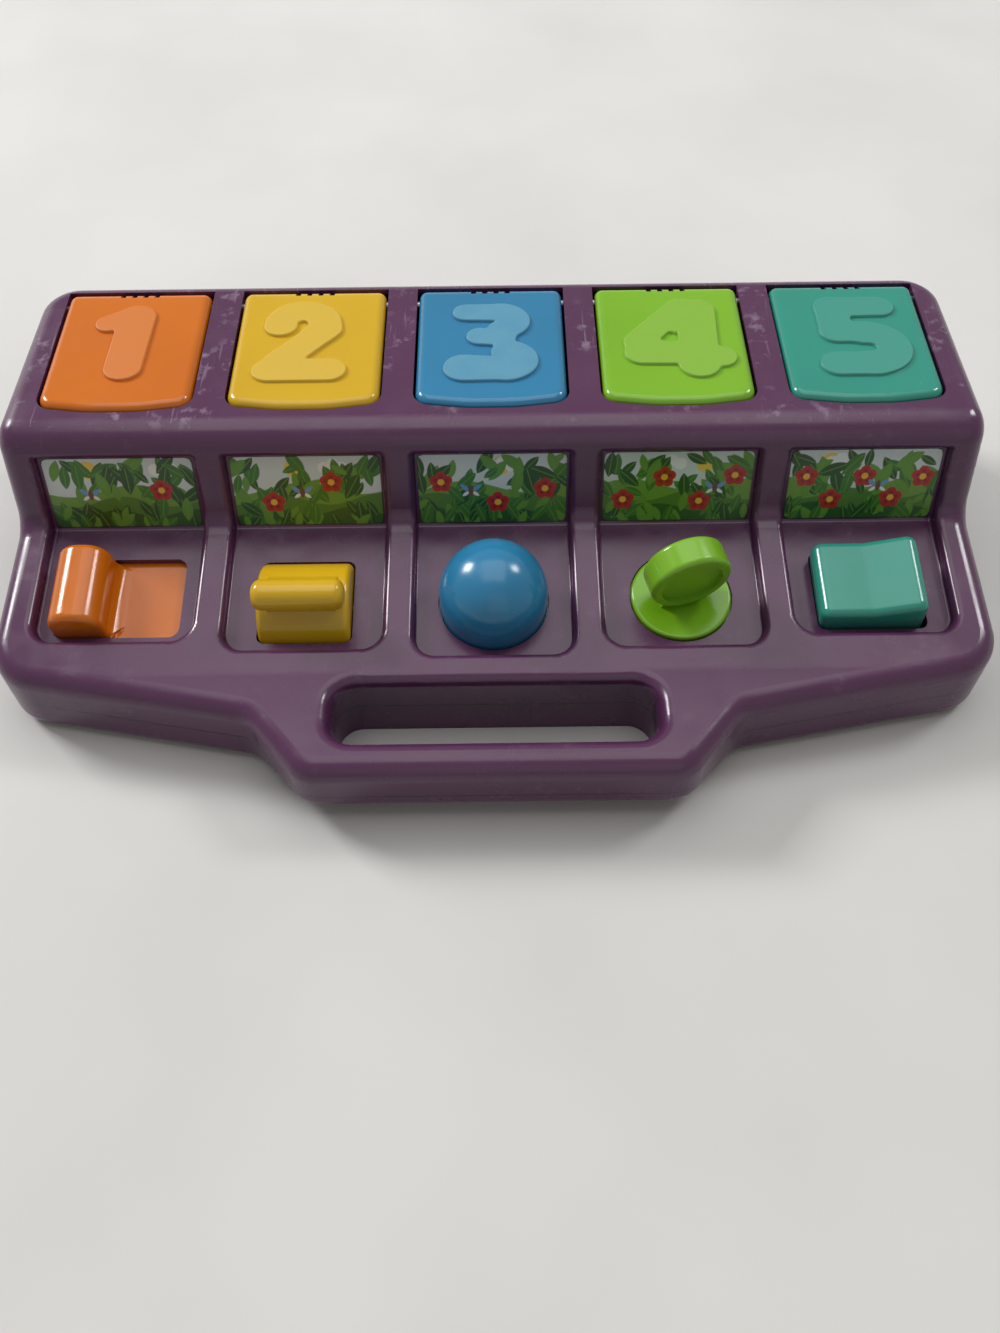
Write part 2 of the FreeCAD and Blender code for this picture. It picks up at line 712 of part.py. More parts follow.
def revolved(body, sketch, axis="V_Axis"):
    feature = body.newObject("PartDesign::Revolution", body.Label + "_revolution")
    feature.Profile = sketch
    feature.ReferenceAxis = (sketch, [axis])
    feature.Angle = 360.0
    return feature


def softened(body, base, chosen, radius):
    """A fillet on the edges that the test picks."""
    doc.recompute()
    names = [f"Edge{i}" for i, edge in enumerate(base.Shape.Edges, start=1) if chosen(edge)]
    feature = body.newObject("PartDesign::Fillet", body.Label + "_fillet")
    feature.Base = (base, names)
    if isinstance(radius, str):
        feature.setExpression("Radius", radius)
    else:
        feature.Radius = radius
    return feature


# The lids and what hangs under them

def lid_block(bay):
    """A lid: a shallow tray whose back edge is a barrel round the hinge line, with a catch in front."""
    half = S.lid_width / 2
    low = S.lid_top - S.lid_skirt
    tray = prism(lid_outline(), on_table, low, S.lid_skirt)

    def upper(edge):
        at = middle_of(edge)
        return at.z > S.lid_top - 1e-3 and at.y < S.hinge_back - 1e-3

    tray = tray.makeFillet(S.lid_round, [edge for edge in tray.Edges if upper(edge)])
    barrel = rod(barrel_radius(), Vector(-half, S.hinge_back, S.hinge_height),
                 Vector(half, S.hinge_back, S.hinge_height))
    barrel = barrel.makeFillet(S.lid_round, rings(barrel))
    inner = [(x, min(y, S.hinge_back - barrel_radius()), radius)
             for x, y, radius in drawn_in(lid_outline(), S.lid_wall)]
    roof = S.lid_top - S.lid_wall
    hollow = prism(inner, on_table, low - CUT, roof - low + CUT)
    body = tray.fuse(barrel).cut(hollow)
    spring_room = box(-S.coil_length / 2 - S.seat_gap, S.coil_length / 2 + S.seat_gap,
                      S.hinge_back - barrel_radius() - CUT, S.hinge_back + barrel_radius() + CUT,
                      S.hinge_height - barrel_radius() - CUT,
                      S.hinge_height + S.coil_radius + S.seat_gap)
    bore = rod(S.pin_radius + S.running_gap, Vector(-half - CUT, S.hinge_back, S.hinge_height),
               Vector(half + CUT, S.hinge_back, S.hinge_height))
    back = S.hinge_back + barrel_radius()
    comb = []
    for step in (-1.5, -0.5, 0.5, 1.5):
        middle = step * S.notch_pitch
        comb.append(box(middle - S.notch_width / 2, middle + S.notch_width / 2, back - S.notch_depth,
                        back + CUT, S.hinge_height - barrel_radius() - CUT, S.lid_top + CUT))
    body = body.cut([spring_room, bore] + comb)
    body = body.fuse(catch_block())
    body.translate(Vector(bay_middle(bay), 0, 0))
    return body


def catch_front():
    """How far forward a lid's hook reaches."""
    return S.lid_front - 1.5


def catch_block():
    """The catch under a lid's front edge: a tab with a hook that points forward."""
    low = S.lid_top - S.catch_depth
    half = S.catch_width / 2
    hook_back = catch_front() + S.hook_reach
    tab = box(-half, half, hook_back, hook_back + 2.0, low, S.lid_top - S.lid_wall / 2)
    hook = box(-half, half, catch_front(), hook_back + CUT, low, low + S.hook_thick)
    return tab.fuse(hook)


def hinge_pin(bay):
    length = "sizes.lid_width + 2 * sizes.lid_gap + 2 * sizes.ear_thick"
    start = bay_middle(bay) - S.lid_width / 2 - S.lid_gap - S.ear_thick
    place = Placement(Vector(start, S.hinge_back, S.hinge_height), Rotation(Vector(0, 1, 0), 90))
    return add_primitive("Part::Cylinder", f"hinge_pin_{bay + 1}", place, Radius="sizes.pin_radius",
                         Height=length)


def lid_spring(bay):
    """The coil of a lid's spring, closed in its outer shape, round the pin."""
    name = f"lid_spring_{bay + 1}"
    start = Vector(bay_middle(bay) - S.coil_length / 2, S.hinge_back, S.hinge_height)
    place = Placement(start, Rotation(Vector(0, 1, 0), 90))
    coil = add_primitive("Part::Cylinder", name + "_outside", place, Radius="sizes.coil_radius",
                         Height="sizes.coil_length")
    bore = add_primitive("Part::Cylinder", name + "_inside", place,
                         Radius="sizes.pin_radius + sizes.running_gap", Height="sizes.coil_length")
    return add_cut(name, coil, bore)


def ball(radius, x, y, z):
    return Part.makeSphere(radius, Vector(x, y, z))


def disc(radius, thick, x, y, z, round_edge):
    """A flat round ear that faces down, with soft edges."""
    flat = Part.makeCylinder(radius, thick, Vector(x, y, z - thick / 2))
    return flat.makeFillet(round_edge, rings(flat))


def animal_head(bay):
    """A plain animal's head on a neck, facing away from the lid, its crown to the lid's front."""
    roof = S.lid_top - S.lid_wall
    big = S.head_radius
    y = S.lid_front + S.head_back
    z = roof - S.head_drop
    neck = rod(S.neck_radius, Vector(0, y, z), Vector(0, y, roof))
    if bay == SLIDER:
        pieces = [ball(0.8 * big, 0, y - 2, z), ball(0.6 * big, 0, y + 9, z - 5)]
        for side in (-1, 1):
            pieces += [rod(2.0, Vector(side * 5, y - 8, z), Vector(side * 6, y - 21, z)),
                       ball(3.2, side * 6, y - 22, z), ball(4.6, side * 14, y - 8, z + 2)]
    elif bay == LEVER:
        pieces = [ball(0.95 * big, 0, y, z), rod(4.2, Vector(0, y + 3, z - 8), Vector(0, y + 16, z - 12)),
                  ball(4.2, 0, y + 16, z - 12), ball(5.0, 0, y + 3, z - 9)]
        pieces += [disc(11.0, 4.0, side * 15, y - 3, z + 3, 1.5) for side in (-1, 1)]
    elif bay == BUTTON:
        pieces = [ball(big, 0, y, z), ball(0.5 * big, 0, y + 6, z - 10)]
        pieces += [ball(5.5, side * 12, y - 12, z + 2) for side in (-1, 1)]
    elif bay == DIAL:
        pieces = [disc(1.35 * big, 9.0, 0, y, z + 4, 4.0), ball(0.9 * big, 0, y, z - 1),
                  ball(0.45 * big, 0, y + 6, z - 11)]
        pieces += [ball(4.4, side * 11, y - 12, z - 1) for side in (-1, 1)]
    else:
        pieces = [ball(0.95 * big, 0, y, z), ball(0.62 * big, 0, y + 6, z - 6)]
        pieces += [disc(7.0, 5.0, side * 17, y + 1, z + 2, 2.0) for side in (-1, 1)]
    head = neck.fuse(pieces)
    head.translate(Vector(bay_middle(bay), 0, 0))
    return head


# The latches

def latch_outline():
    """A latch from the side: bar, riser and the nose that holds the lid's hook down."""
    back = S.latch_back
    low = S.latch_height
    nose_low = S.lid_top - S.catch_depth + S.hook_thick + S.seat_gap
    nose_high = S.lid_top - S.lid_skirt - S.seat_gap
    nose_tip = catch_front() - 2 * S.seat_gap - S.fixed_gap
    return [
        (-S.latch_reach, low, 0),
        (back, low, S.latch_thick),
        (back, nose_low, 0),
        (nose_tip, nose_low, 0),
        (nose_tip, nose_low + 1.0, 0),
        (back, nose_high, 0),
        (back - S.latch_thick, nose_high, 0),
        (back - S.latch_thick, low + S.latch_thick, 1.0),
        (-S.latch_reach, low + S.latch_thick, 0),
    ]


def follower(bay):
    """What stands on a latch's bar for its actuator to press on, in the toy, about x = 0."""
    base = S.latch_height + S.latch_thick / 2
    place = station(bay).Base
    if bay == SLIDER:
        deep = S.wall + S.plate_thick + 2.0
        back = place.y + S.slider_fin * cos(fall) + deep * sin(fall) - S.seat_gap - 0.35
        return box(-2.5, 2.5, back - 2.5, back, base, place.z - deep)
    if bay == LEVER:
        pivot = station(bay).multVec(Vector(0, 0, S.lever_axis))
        back = pivot.y - S.tail_radius - 2 * S.seat_gap
        return box(-2.5, 2.5, back - 2.5, back, base, pivot.z - S.tail_drop + 1.5)
    if bay == BUTTON:
        return ramp_block()
    if bay == DIAL:
        top = station(bay).multVec(Vector(0, 0, S.peg_low)).z + 2.5
        back = place.y - S.peg_radius - S.peg_play - S.peg_low * sin(fall)
        return box(-5.0, 5.0, back - 2.5, back, base, top)
    low = station(ROCKER).multVec(Vector(0, 0, S.rocker_fin))
    back = low.y - 1.5 - 4 * S.seat_gap
    return box(-2.5, 2.5, back - 2.5, back, base, low.z + 3.0)


def ramp_block():
    """A wedge whose back face slopes, so that the button's foot draws it forward as it sinks."""
    foot = station(BUTTON).multVec(Vector(0, 0, S.button_foot))
    base = S.latch_height + S.latch_thick / 2
    rate = S.latch_travel / S.button_travel + sin(fall)
    top = foot.y - S.seat_gap
    height = foot.z - base - 2 * S.seat_gap
    corners = [(top - 3.0, base, 0), (top + rate * height, base, 0), (top, base + height, 0),
               (top - 3.0, base + height, 0)]
    return prism(corners, on_side, -2.5, 5.0)


def latch(bay):
    half = S.latch_width / 2
    body = prism(latch_outline(), on_side, -half, S.latch_width)
    body = body.fuse(follower(bay))
    body.translate(Vector(bay_middle(bay), 0, 0))
    return body


# The five actuators, each in its own local frame on the floor

def slider_body():
    """A plate under the floor with a half-round ridge to push, and a slanting fin that draws the latch."""
    body = new_body("slider", station(SLIDER))
    top = -S.wall - S.seat_gap
    low = top - S.plate_thick
    left = -S.slot_width / 2 + 2 * S.seat_gap
    right = left + S.slider_grip
    plate_left = left - 15.0
    plate_right = S.slot_width / 2 + 1.0
    deep = S.slot_depth + 6.0
    plate = sketch_on(body, "XY", rectangle(plate_left, plate_right, -deep / 2, deep / 2, 2.0), low)
    grown(body, "Pad", plate, "sizes.plate_thick")
    foot = 5.0
    crown = 0.42 * S.slider_grip
    ridge = [(left, top - CUT, 0), (right + foot, top - CUT, 0), (right + foot, top, 0), (right, top, foot),
             (right - 1.5, S.slider_height, crown), (left, S.slider_height, crown)]
    grip_depth = S.slot_depth - 4 * S.seat_gap
    profile = sketch_on(body, "XZ", ridge, -grip_depth / 2)
    pad = grown(body, "Pad", profile, "sizes.slot_depth - 4 * sizes.seat_gap")

    def ridge_end(edge):
        at = middle_of(edge)
        return abs(abs(at.y) - grip_depth / 2) < 1e-3 and at.z > 2.0

    softened(body, pad, ridge_end, 2.5)
    rate = S.latch_travel / S.slider_travel
    reach = S.slider_travel + 4.0
    fin = [(-reach, S.slider_fin - rate * reach, 0), (4.0, S.slider_fin + rate * 4.0, 0),
           (4.0, S.slider_fin + 3.0, 0),
           (-reach, S.slider_fin + 3.0 - rate * reach, 0)]
    fin_sketch = sketch_on(body, "XY", fin, low - S.fin_depth)
    grown(body, "Pad", fin_sketch, S.fin_depth + CUT)
    return body


def lever_body():
    """A turned base in its trunnions, a waisted neck and a round bar across the top, and a tail below."""
    body = new_body("flip_lever", station(LEVER).multiply(Placement(Vector(0, 0, S.lever_axis), Rotation())))
    half = S.lever_width / 2
    swing = radians(S.lever_swing)
    mouth = pi / 2 - asin(S.lever_axis / -S.drum_radius)
    front = mouth + swing + 0.1
    back = mouth + 0.1
    bar_up = S.lever_rise - S.lever_axis
    rim = [Vector(-S.drum_radius * sin(front), S.drum_radius * cos(front), 0), Vector(0, S.drum_radius, 0),
           Vector(S.drum_radius * sin(back), S.drum_radius * cos(back), 0)]
    sketch = sketch_on(body, "YZ", [], -half)
    sketch.addGeometry([
        Part.ArcOfCircle(Part.Circle(Vector(0, 0, 0), Vector(0, 0, 1), S.drum_radius),
                         pi / 2 - back, pi / 2 + front),
        Part.LineSegment(rim[0], Vector(0, 0, 0)),
        Part.LineSegment(Vector(0, 0, 0), rim[2]),
    ], False)
    drum = grown(body, "Pad", sketch, "sizes.lever_width")

    def drum_rim(edge):
        at = middle_of(edge)
        return abs(abs(at.x) - half) < 1e-3 and abs(sqrt(at.y ** 2 + at.z ** 2) - S.drum_radius) < 0.1

    softened(body, drum, drum_rim, 2.2)
    waist = S.lever_bar / 2 - 1.6
    neck_foot = S.drum_radius - 4.0
    neck = [(-S.lever_lean - waist, bar_up, 0), (-waist - 4.5, neck_foot, 0), (waist + 4.5, neck_foot, 0),
            (-S.lever_lean + waist, bar_up, 0)]
    neck_width = S.lever_width - 8.6
    neck_sketch = sketch_on(body, "YZ", neck, -neck_width / 2)
    grown(body, "Pad", neck_sketch, neck_width)
    bar = sketch_on(body, "YZ", [], -S.lever_width / 2 + 0.5, [(-S.lever_lean, bar_up, S.lever_bar / 2)])
    bar_pad = grown(body, "Pad", bar, S.lever_width - 1.0)

    def bar_end(edge):
        at = middle_of(edge)
        ring = edge.Curve.TypeId == "Part::GeomCircle" and abs(edge.Curve.Radius - S.lever_bar / 2) < 1e-3
        return ring and abs(abs(at.x) - (S.lever_width / 2 - 0.5)) < 1e-3

    softened(body, bar_pad, bar_end, 3.4)
    hub = sketch_on(body, "YZ", [], -half - S.seat_gap - S.trunnion_length, [(0, 0, S.trunnion_radius)])
    grown(body, "Pad", hub, 2 * (half + S.seat_gap + S.trunnion_length))
    tail_low = -S.tail_drop - S.tail_radius
    tail = [(-S.tail_radius, 0, 0), (-S.tail_radius, tail_low, 1.2), (S.tail_radius, tail_low, 1.2),
            (S.tail_radius, 0, 0)]
    tail_sketch = sketch_on(body, "YZ", tail, -4.0)
    grown(body, "Pad", tail_sketch, 8.0)
    return body


def button_body():
    """A hollow dome on an upright wall, with a stop rim under the floor and a foot that sinks."""
    body = new_body("push_button", station(BUTTON))
    radius = S.button_width / 2
    wall = S.wall
    rim_top = -S.wall - S.seat_gap
    low = rim_top - S.plate_thick
    dome = S.button_wall
    sketch = sketch_on(body, "XZ", [])
    centre = Vector(0, dome, 0)
    sketch.addGeometry([
        Part.ArcOfCircle(Part.Circle(centre, Vector(0, 0, 1), radius), 0, pi / 2),
        Part.LineSegment(Vector(0, dome + radius, 0), Vector(0, dome + radius - wall, 0)),
        Part.ArcOfCircle(Part.Circle(centre, Vector(0, 0, 1), radius - wall), 0, pi / 2),
        Part.LineSegment(Vector(radius - wall, dome, 0), Vector(radius - wall, low, 0)),
        Part.LineSegment(Vector(radius - wall, low, 0), Vector(radius + 2.0, low, 0)),
        Part.LineSegment(Vector(radius + 2.0, low, 0), Vector(radius + 2.0, rim_top, 0)),
        Part.LineSegment(Vector(radius + 2.0, rim_top, 0), Vector(radius, rim_top, 0)),
        Part.LineSegment(Vector(radius, rim_top, 0), Vector(radius, dome, 0)),
    ], False)
    revolved(body, sketch)
    web = sketch_on(body, "XY", rectangle(-radius + 1.0, radius - 1.0, 0.0, 3.0), low)
    grown(body, "Pad", web, dome + 3.0 - low)
    foot = sketch_on(body, "XY", rectangle(-2.5, 2.5, 0.0, 3.0), S.button_foot)
    grown(body, "Pad", foot, low - S.button_foot + CUT)
    pads = sketch_on(body, "XY", [], low,
                     [(side * S.button_spring_out, 0, S.button_spring_radius + 0.5) for side in (-1, 1)])
    grown(body, "Pad", pads, S.plate_thick)
    return body


def dial_body():
    """A disc held under the floor, an upright coin with hollow faces to grip, and a peg off its middle."""
    stand = Placement(Vector(), Rotation(Vector(0, 0, 1), S.dial_rest))
    body = new_body("dial", station(DIAL).multiply(stand))
    radius = S.dial_width / 2
    rim_top = -S.wall - S.seat_gap
    low = rim_top - S.plate_thick
    disc_top = 1.4
    disc_profile = [(0, low, 0), (radius + 2.5, low, 0), (radius + 2.5, rim_top, 0), (radius, rim_top, 0),
                    (radius, disc_top, 1.2), (0, disc_top, 0)]
    disc_sketch = sketch_on(body, "XZ", disc_profile)
    revolved(body, disc_sketch)
    coin = S.coin_width / 2
    half = S.coin_thick / 2
    web = [(-coin * 0.62, disc_top - CUT, 0), (coin * 0.62, disc_top - CUT, 0),
           (coin * 0.5, coin * 0.6, 3.0), (-coin * 0.5, coin * 0.6, 3.0)]
    web_sketch = sketch_on(body, "XZ", web, -half * WEB_SHARE)
    grown(body, "Pad", web_sketch, S.coin_thick * WEB_SHARE)
    grip = sketch_on(body, "XZ", [], -half, [(0, S.coin_rise, coin)])
    grip_pad = grown(body, "Pad", grip, "sizes.coin_thick")

    def coin_rim(edge):
        ring = edge.Curve.TypeId == "Part::GeomCircle" and abs(edge.Curve.Radius - coin) < 1e-3
        return ring and abs(abs(middle_of(edge).y) - half) < 1e-3

    softened(body, grip_pad, coin_rim, 1.8)
    for offset, length in ((half - S.coin_hollow, S.coin_hollow + CUT), (-half - CUT, S.coin_hollow + CUT)):
        hollow = sketch_on(body, "XZ", [], offset, [(0, S.coin_rise, coin - 3.6)])
        grown(body, "Pocket", hollow, length, reverse=True)
    hub = sketch_on(body, "XY", [], S.peg_low + 5.0, [(0, 0, 7.0)])
    grown(body, "Pad", hub, low - S.peg_low - 5.0 + CUT)
    turn = radians(-S.dial_rest)
    peg_place = (S.peg_out * cos(turn), S.peg_out * sin(turn), S.peg_radius)
    peg = sketch_on(body, "XY", [], S.peg_low, [peg_place])
    grown(body, "Pad", peg, 5.0 + CUT)
    return body


def rocker_body():
    """A block with a shallow crease, in trunnions along the crease, with a slanting fin below."""
    tilt = Rotation(Vector(0, 1, 0), -S.rocker_tilt)
    body = new_body("rocker", station(ROCKER).multiply(Placement(Vector(0, 0, S.rocker_axis), tilt)))
    half = S.rocker_width / 2
    crease = S.rocker_rise - S.rocker_axis
    horn = crease + half * tan(radians(S.rocker_tilt))
    low = -2.5
    outline = [(-half + 0.6, low, 0), (half - 0.6, low, 0), (half, horn, 4.0), (0, crease, 8.0),
               (-half, horn, 4.0)]
    sketch = sketch_on(body, "XZ", outline, -S.rocker_depth / 2)
    pad = grown(body, "Pad", sketch, "sizes.rocker_depth")

    def upper_end(edge):
        at = middle_of(edge)
        return abs(abs(at.y) - S.rocker_depth / 2) < 1e-3 and at.z > low + 1.0

    softened(body, pad, upper_end, 3.0)
    reach = S.rocker_depth / 2 + S.trunnion_length + 2 * S.seat_gap
    hub = sketch_on(body, "XZ", [], -reach, [(0, 0, S.trunnion_radius)])
    grown(body, "Pad", hub, 2 * reach)
    slant = [(-5.0, 4.0, 0), (5.0, -5.0, 0), (5.0, -1.0, 0), (-1.0, 4.4, 0)]
    fin_low = S.rocker_fin - S.rocker_axis
    fin = sketch_on(body, "XY", slant, fin_low)
    grown(body, "Pad", fin, low - fin_low + CUT)
    return body


# The small parts

def label_plate(bay):
    """A picture label on the slope of its bay."""
    middle = FOOT + UP_SLOPE * ((S.picture_top - S.floor_height) / sin(slope) / 2)
    corner = middle - UP_SLOPE * (S.sticker_height / 2)
    turn = Rotation(Vector(1, 0, 0), S.slope_angle)
    place = Placement(Vector(bay_middle(bay) - S.sticker_width / 2, corner.x, corner.y), turn)
    return add_primitive("Part::Box", f"label_{bay + 1}", place, Length="sizes.sticker_width",
                         Width="sizes.sticker_height", Height="sizes.sticker_thick")


def screws():
    """Pan-head screws, up from below into the posts."""
    pieces = []
    for number, (x, y) in enumerate(post_places()):
        foot = Placement(Vector(x, y, S.screw_seat - S.screw_head_thick), Rotation())
        head = add_primitive("Part::Cylinder", f"screw_head_{number}", foot, Radius="sizes.screw_head",
                             Height="sizes.screw_head_thick")
        seat = Placement(Vector(x, y, S.screw_seat - CUT), Rotation())
        shank = add_primitive("Part::Cylinder", f"screw_shank_{number}", seat, Radius="sizes.screw_radius")
        shank.Height = S.parting_height + S.bore_length - CUT - S.screw_seat
        pieces += [head, shank]
    return add_fusion("case_screws", pieces)


def button_springs():
    """The button's two springs, closed in their outer shape, between their seats and the button."""
    pieces = []
    top = station(BUTTON).multVec(Vector(0, 0, -S.wall - S.seat_gap - S.plate_thick)).z - S.seat_gap - 0.6
    for side in (-1, 1):
        foot = spring_axis(side) + Vector(0, 0, S.button_spring_foot)
        pieces.append(rod(S.button_spring_radius, foot, Vector(foot.x, foot.y, top)).cut(
            rod(S.button_spring_bore, foot - Vector(0, 0, CUT), Vector(foot.x, foot.y, top + CUT))))
    return Part.makeCompound(pieces)


# Build, check and write

nodes = [add_shape("top_case", make_top_case()), add_shape("bottom_case", make_bottom_case()), screws(),
         slider_body(), lever_body(), button_body(), dial_body(), rocker_body()]
springs = doc.addObject("Part::Feature", "button_spring")
springs.Label = "button_spring"
springs.Shape = button_springs()
nodes.append(springs)
for bay in BAYS:
    nodes.append(add_shape(f"lid_{bay + 1}", lid_block(bay)))
    nodes.append(add_shape(f"figure_{bay + 1}", animal_head(bay)))
    nodes.append(add_shape(f"latch_{bay + 1}", latch(bay)))
    nodes.append(label_plate(bay))
    nodes.append(hinge_pin(bay))
    nodes.append(lid_spring(bay))
doc.recompute()

failed = [item.Name for item in doc.Objects if {"Invalid", "Error"} & set(item.State)]
broken = [node.Label for node in nodes if node.Shape.isNull() or not node.Shape.isValid()]
if failed or broken:
    raise SystemExit(f"not built: {failed} {broken}")
for node in nodes:
    node.Shape.exportStep(f"parts/{node.Label}.step")
    print(f"{node.Label:16s} {len(node.Shape.Solids)} solids {node.Shape.Volume / 1000:9.2f} cm3")
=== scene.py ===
"""Looks of the pop-up animal toy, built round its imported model. Metres, +X right, +Y to the back, +Z up."""
import json
import math

import bmesh
import bpy
import numpy as np
from mathutils import Matrix, Vector


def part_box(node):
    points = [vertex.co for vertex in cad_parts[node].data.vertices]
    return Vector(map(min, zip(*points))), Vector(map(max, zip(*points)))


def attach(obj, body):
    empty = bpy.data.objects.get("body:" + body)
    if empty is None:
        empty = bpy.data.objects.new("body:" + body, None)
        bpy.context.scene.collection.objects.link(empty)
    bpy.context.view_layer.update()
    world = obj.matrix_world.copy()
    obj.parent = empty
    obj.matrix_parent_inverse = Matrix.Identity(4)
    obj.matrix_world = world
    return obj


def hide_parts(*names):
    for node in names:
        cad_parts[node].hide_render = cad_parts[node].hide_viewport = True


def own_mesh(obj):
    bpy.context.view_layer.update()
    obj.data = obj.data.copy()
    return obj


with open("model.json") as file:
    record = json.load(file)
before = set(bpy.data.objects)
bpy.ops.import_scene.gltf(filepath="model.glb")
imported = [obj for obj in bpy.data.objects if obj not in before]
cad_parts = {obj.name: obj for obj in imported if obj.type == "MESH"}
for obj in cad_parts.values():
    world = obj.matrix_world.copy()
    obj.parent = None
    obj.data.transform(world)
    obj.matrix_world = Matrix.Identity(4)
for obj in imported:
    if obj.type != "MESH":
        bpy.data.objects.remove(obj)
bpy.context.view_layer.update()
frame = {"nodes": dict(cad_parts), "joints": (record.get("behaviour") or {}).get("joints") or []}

MM = 0.001

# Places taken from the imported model

BAYS = range(5)
lid_boxes = [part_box(f"lid_{bay + 1}") for bay in BAYS]
lid_middles = [(low[0] + high[0]) / 2 for low, high in lid_boxes]
LID_TOP = lid_boxes[0][1][2]
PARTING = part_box("top_case")[0][2]
label_boxes = [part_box(f"label_{bay + 1}") for bay in BAYS]
joints = {joint["name"]: joint for joint in frame["joints"]}
HINGE_Y, HINGE_Z = joints["lid_1_hinge"]["pos_m"][1:]


# Meshes

def mesh_object(name, points, faces):
    """A smooth mesh object from an array of points (n, 3) and lists of each face's corners."""
    mesh = bpy.data.meshes.new(name)
    mesh.from_pydata(points.tolist(), [], faces)
    mesh.polygons.foreach_set("use_smooth", np.ones(len(mesh.polygons), bool))
    mesh.update()
    piece = bpy.data.objects.new(name, mesh)
    bpy.context.scene.collection.objects.link(piece)
    return piece


def grid_faces(rows, columns, wrap=False):
    """Quads of a grid of points stored row by row, each row closed round where it wraps."""
    across = np.arange(columns if wrap else columns - 1)
    start, column = np.meshgrid(np.arange(rows - 1) * columns, across, indexing="ij")
    beside = (column + 1) % columns
    below = start + columns
    quads = np.stack([start + column, start + beside, below + beside, below + column], -1)
    return quads.reshape(-1, 4)


def tube(name, path, radius, sides=8):
    """A round section carried along a path and capped: path + radius (cos a side + sin a up).

    Side is a steady direction crossed with the tangent, and up is the tangent crossed with side.
    """
    tangent = np.gradient(path, axis=0)
    tangent /= np.linalg.norm(tangent, axis=1)[:, None]
    steady = np.tile([0.0, 0.0, 1.0], (len(path), 1))
    steady[np.abs(tangent[:, 2]) > 0.9] = [0.0, 1.0, 0.0]
    side = np.cross(steady, tangent)
    side /= np.linalg.norm(side, axis=1)[:, None]
    up = np.cross(tangent, side)
    angle = np.linspace(0, 2 * np.pi, sides, endpoint=False)
    ring = np.cos(angle)[None, :, None] * side[:, None] + np.sin(angle)[None, :, None] * up[:, None]
    points = path[:, None] + radius * ring
    last = (len(path) - 1) * sides
    faces = grid_faces(len(path), sides, wrap=True)[:, ::-1].tolist()
    faces.append(list(range(sides)))
    faces.append(list(range(last + sides - 1, last - 1, -1)))
    piece = mesh_object(name, points.reshape(-1, 3), faces)
    recalculate(piece)
    return piece


def recalculate(piece):
    """Turns every face of a closed mesh outwards."""
    work = bmesh.new()
    work.from_mesh(piece.data)
    bmesh.ops.remove_doubles(work, verts=work.verts, dist=1e-7)
    bmesh.ops.recalc_face_normals(work, faces=work.faces)
    work.to_mesh(piece.data)
    work.free()


def ellipsoid(name, centre, radii, rings=24, sides=32):
    """The points centre + radii * (cos v cos u, cos v sin u, sin v)."""
    v = np.linspace(-np.pi / 2, np.pi / 2, rings)
    u = np.linspace(0, 2 * np.pi, sides, endpoint=False)
    v, u = np.meshgrid(v, u, indexing="ij")
    sphere = np.stack([np.cos(v) * np.cos(u), np.cos(v) * np.sin(u), np.sin(v)], -1)
    points = np.array(centre) + np.array(radii) * sphere.reshape(-1, 3)
    piece = mesh_object(name, points, grid_faces(rings, sides, wrap=True).tolist())
    recalculate(piece)
    return piece


def paint(piece, material):
    """Makes this the piece's only material."""
    piece.data.materials.clear()
    piece.data.materials.append(material)


def finish_piece(piece, body, material):
    """Gives a new piece its finish and its body."""
    paint(piece, material)
    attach(piece, body)
    return piece


# Materials

def linear(code):
    """An sRGB hex colour as linear red, green, blue, alpha."""
    parts = [int(code[i:i + 2], 16) / 255 for i in (1, 3, 5)]
    return [part / 12.92 if part <= 0.04045 else ((part + 0.055) / 1.055) ** 2.4 for part in parts] + [1.0]


def add_node(owner, kind, inputs, output=0, **settings):
    """Adds a shader node to a material or the world, with options, values and links. Gives one output."""
    made = owner.node_tree.nodes.new("ShaderNode" + kind)
    for name, value in settings.items():
        setattr(made, name, value)
    for name, value in inputs.items():
        if isinstance(value, bpy.types.NodeSocket):
            owner.node_tree.links.new(value, made.inputs[name])
        else:
            made.inputs[name].default_value = value
    return made.outputs[output]


def new_material(name, **surface):
    """A new material, its surface shader with these plain values, and its object coordinates."""
    material = bpy.data.materials.new(name)
    material.use_nodes = True
    shader = material.node_tree.nodes["Principled BSDF"]
    for socket, value in surface.items():
        shader.inputs[socket.replace("_", " ")].default_value = value
    return material, shader, add_node(material, "TexCoord", {}, "Object")


def drive(material, shader, **sources):
    """Links a source to each named socket of the surface shader."""
    for socket, source in sources.items():
        material.node_tree.links.new(source, shader.inputs[socket.replace("_", " ")])


def per_metre(size_mm):
    """The scale of a pattern whose parts are this many millimetres across."""
    return 1.0 / (size_mm * MM)


def tinted(material, amount, low, high, most, first, second):
    """The first colour, going to the second by the share most as the amount goes from low to high."""
    share = add_node(material, "MapRange", {"Value": amount, "From Min": low, "From Max": high,
                                            "To Max": most})
    return add_node(material, "Mix", {0: share, 6: first, 7: second}, 2, data_type="RGBA")


# Half the height of the painted shadow along the parting line, which stands for the shade in a groove between
# the case halves, and how it fades out above and below
SEAM_SHADOW_HALF = 0.22 * MM
SEAM_SHADOW_FADE = 0.12 * MM
# The deck is rubbed from just under its level up
DECK_RUB = (74.5 * MM, 75.6 * MM)
# Half the width, in millimetres, over which a sprayed spot fades out
SPRAY_EDGE = 0.35


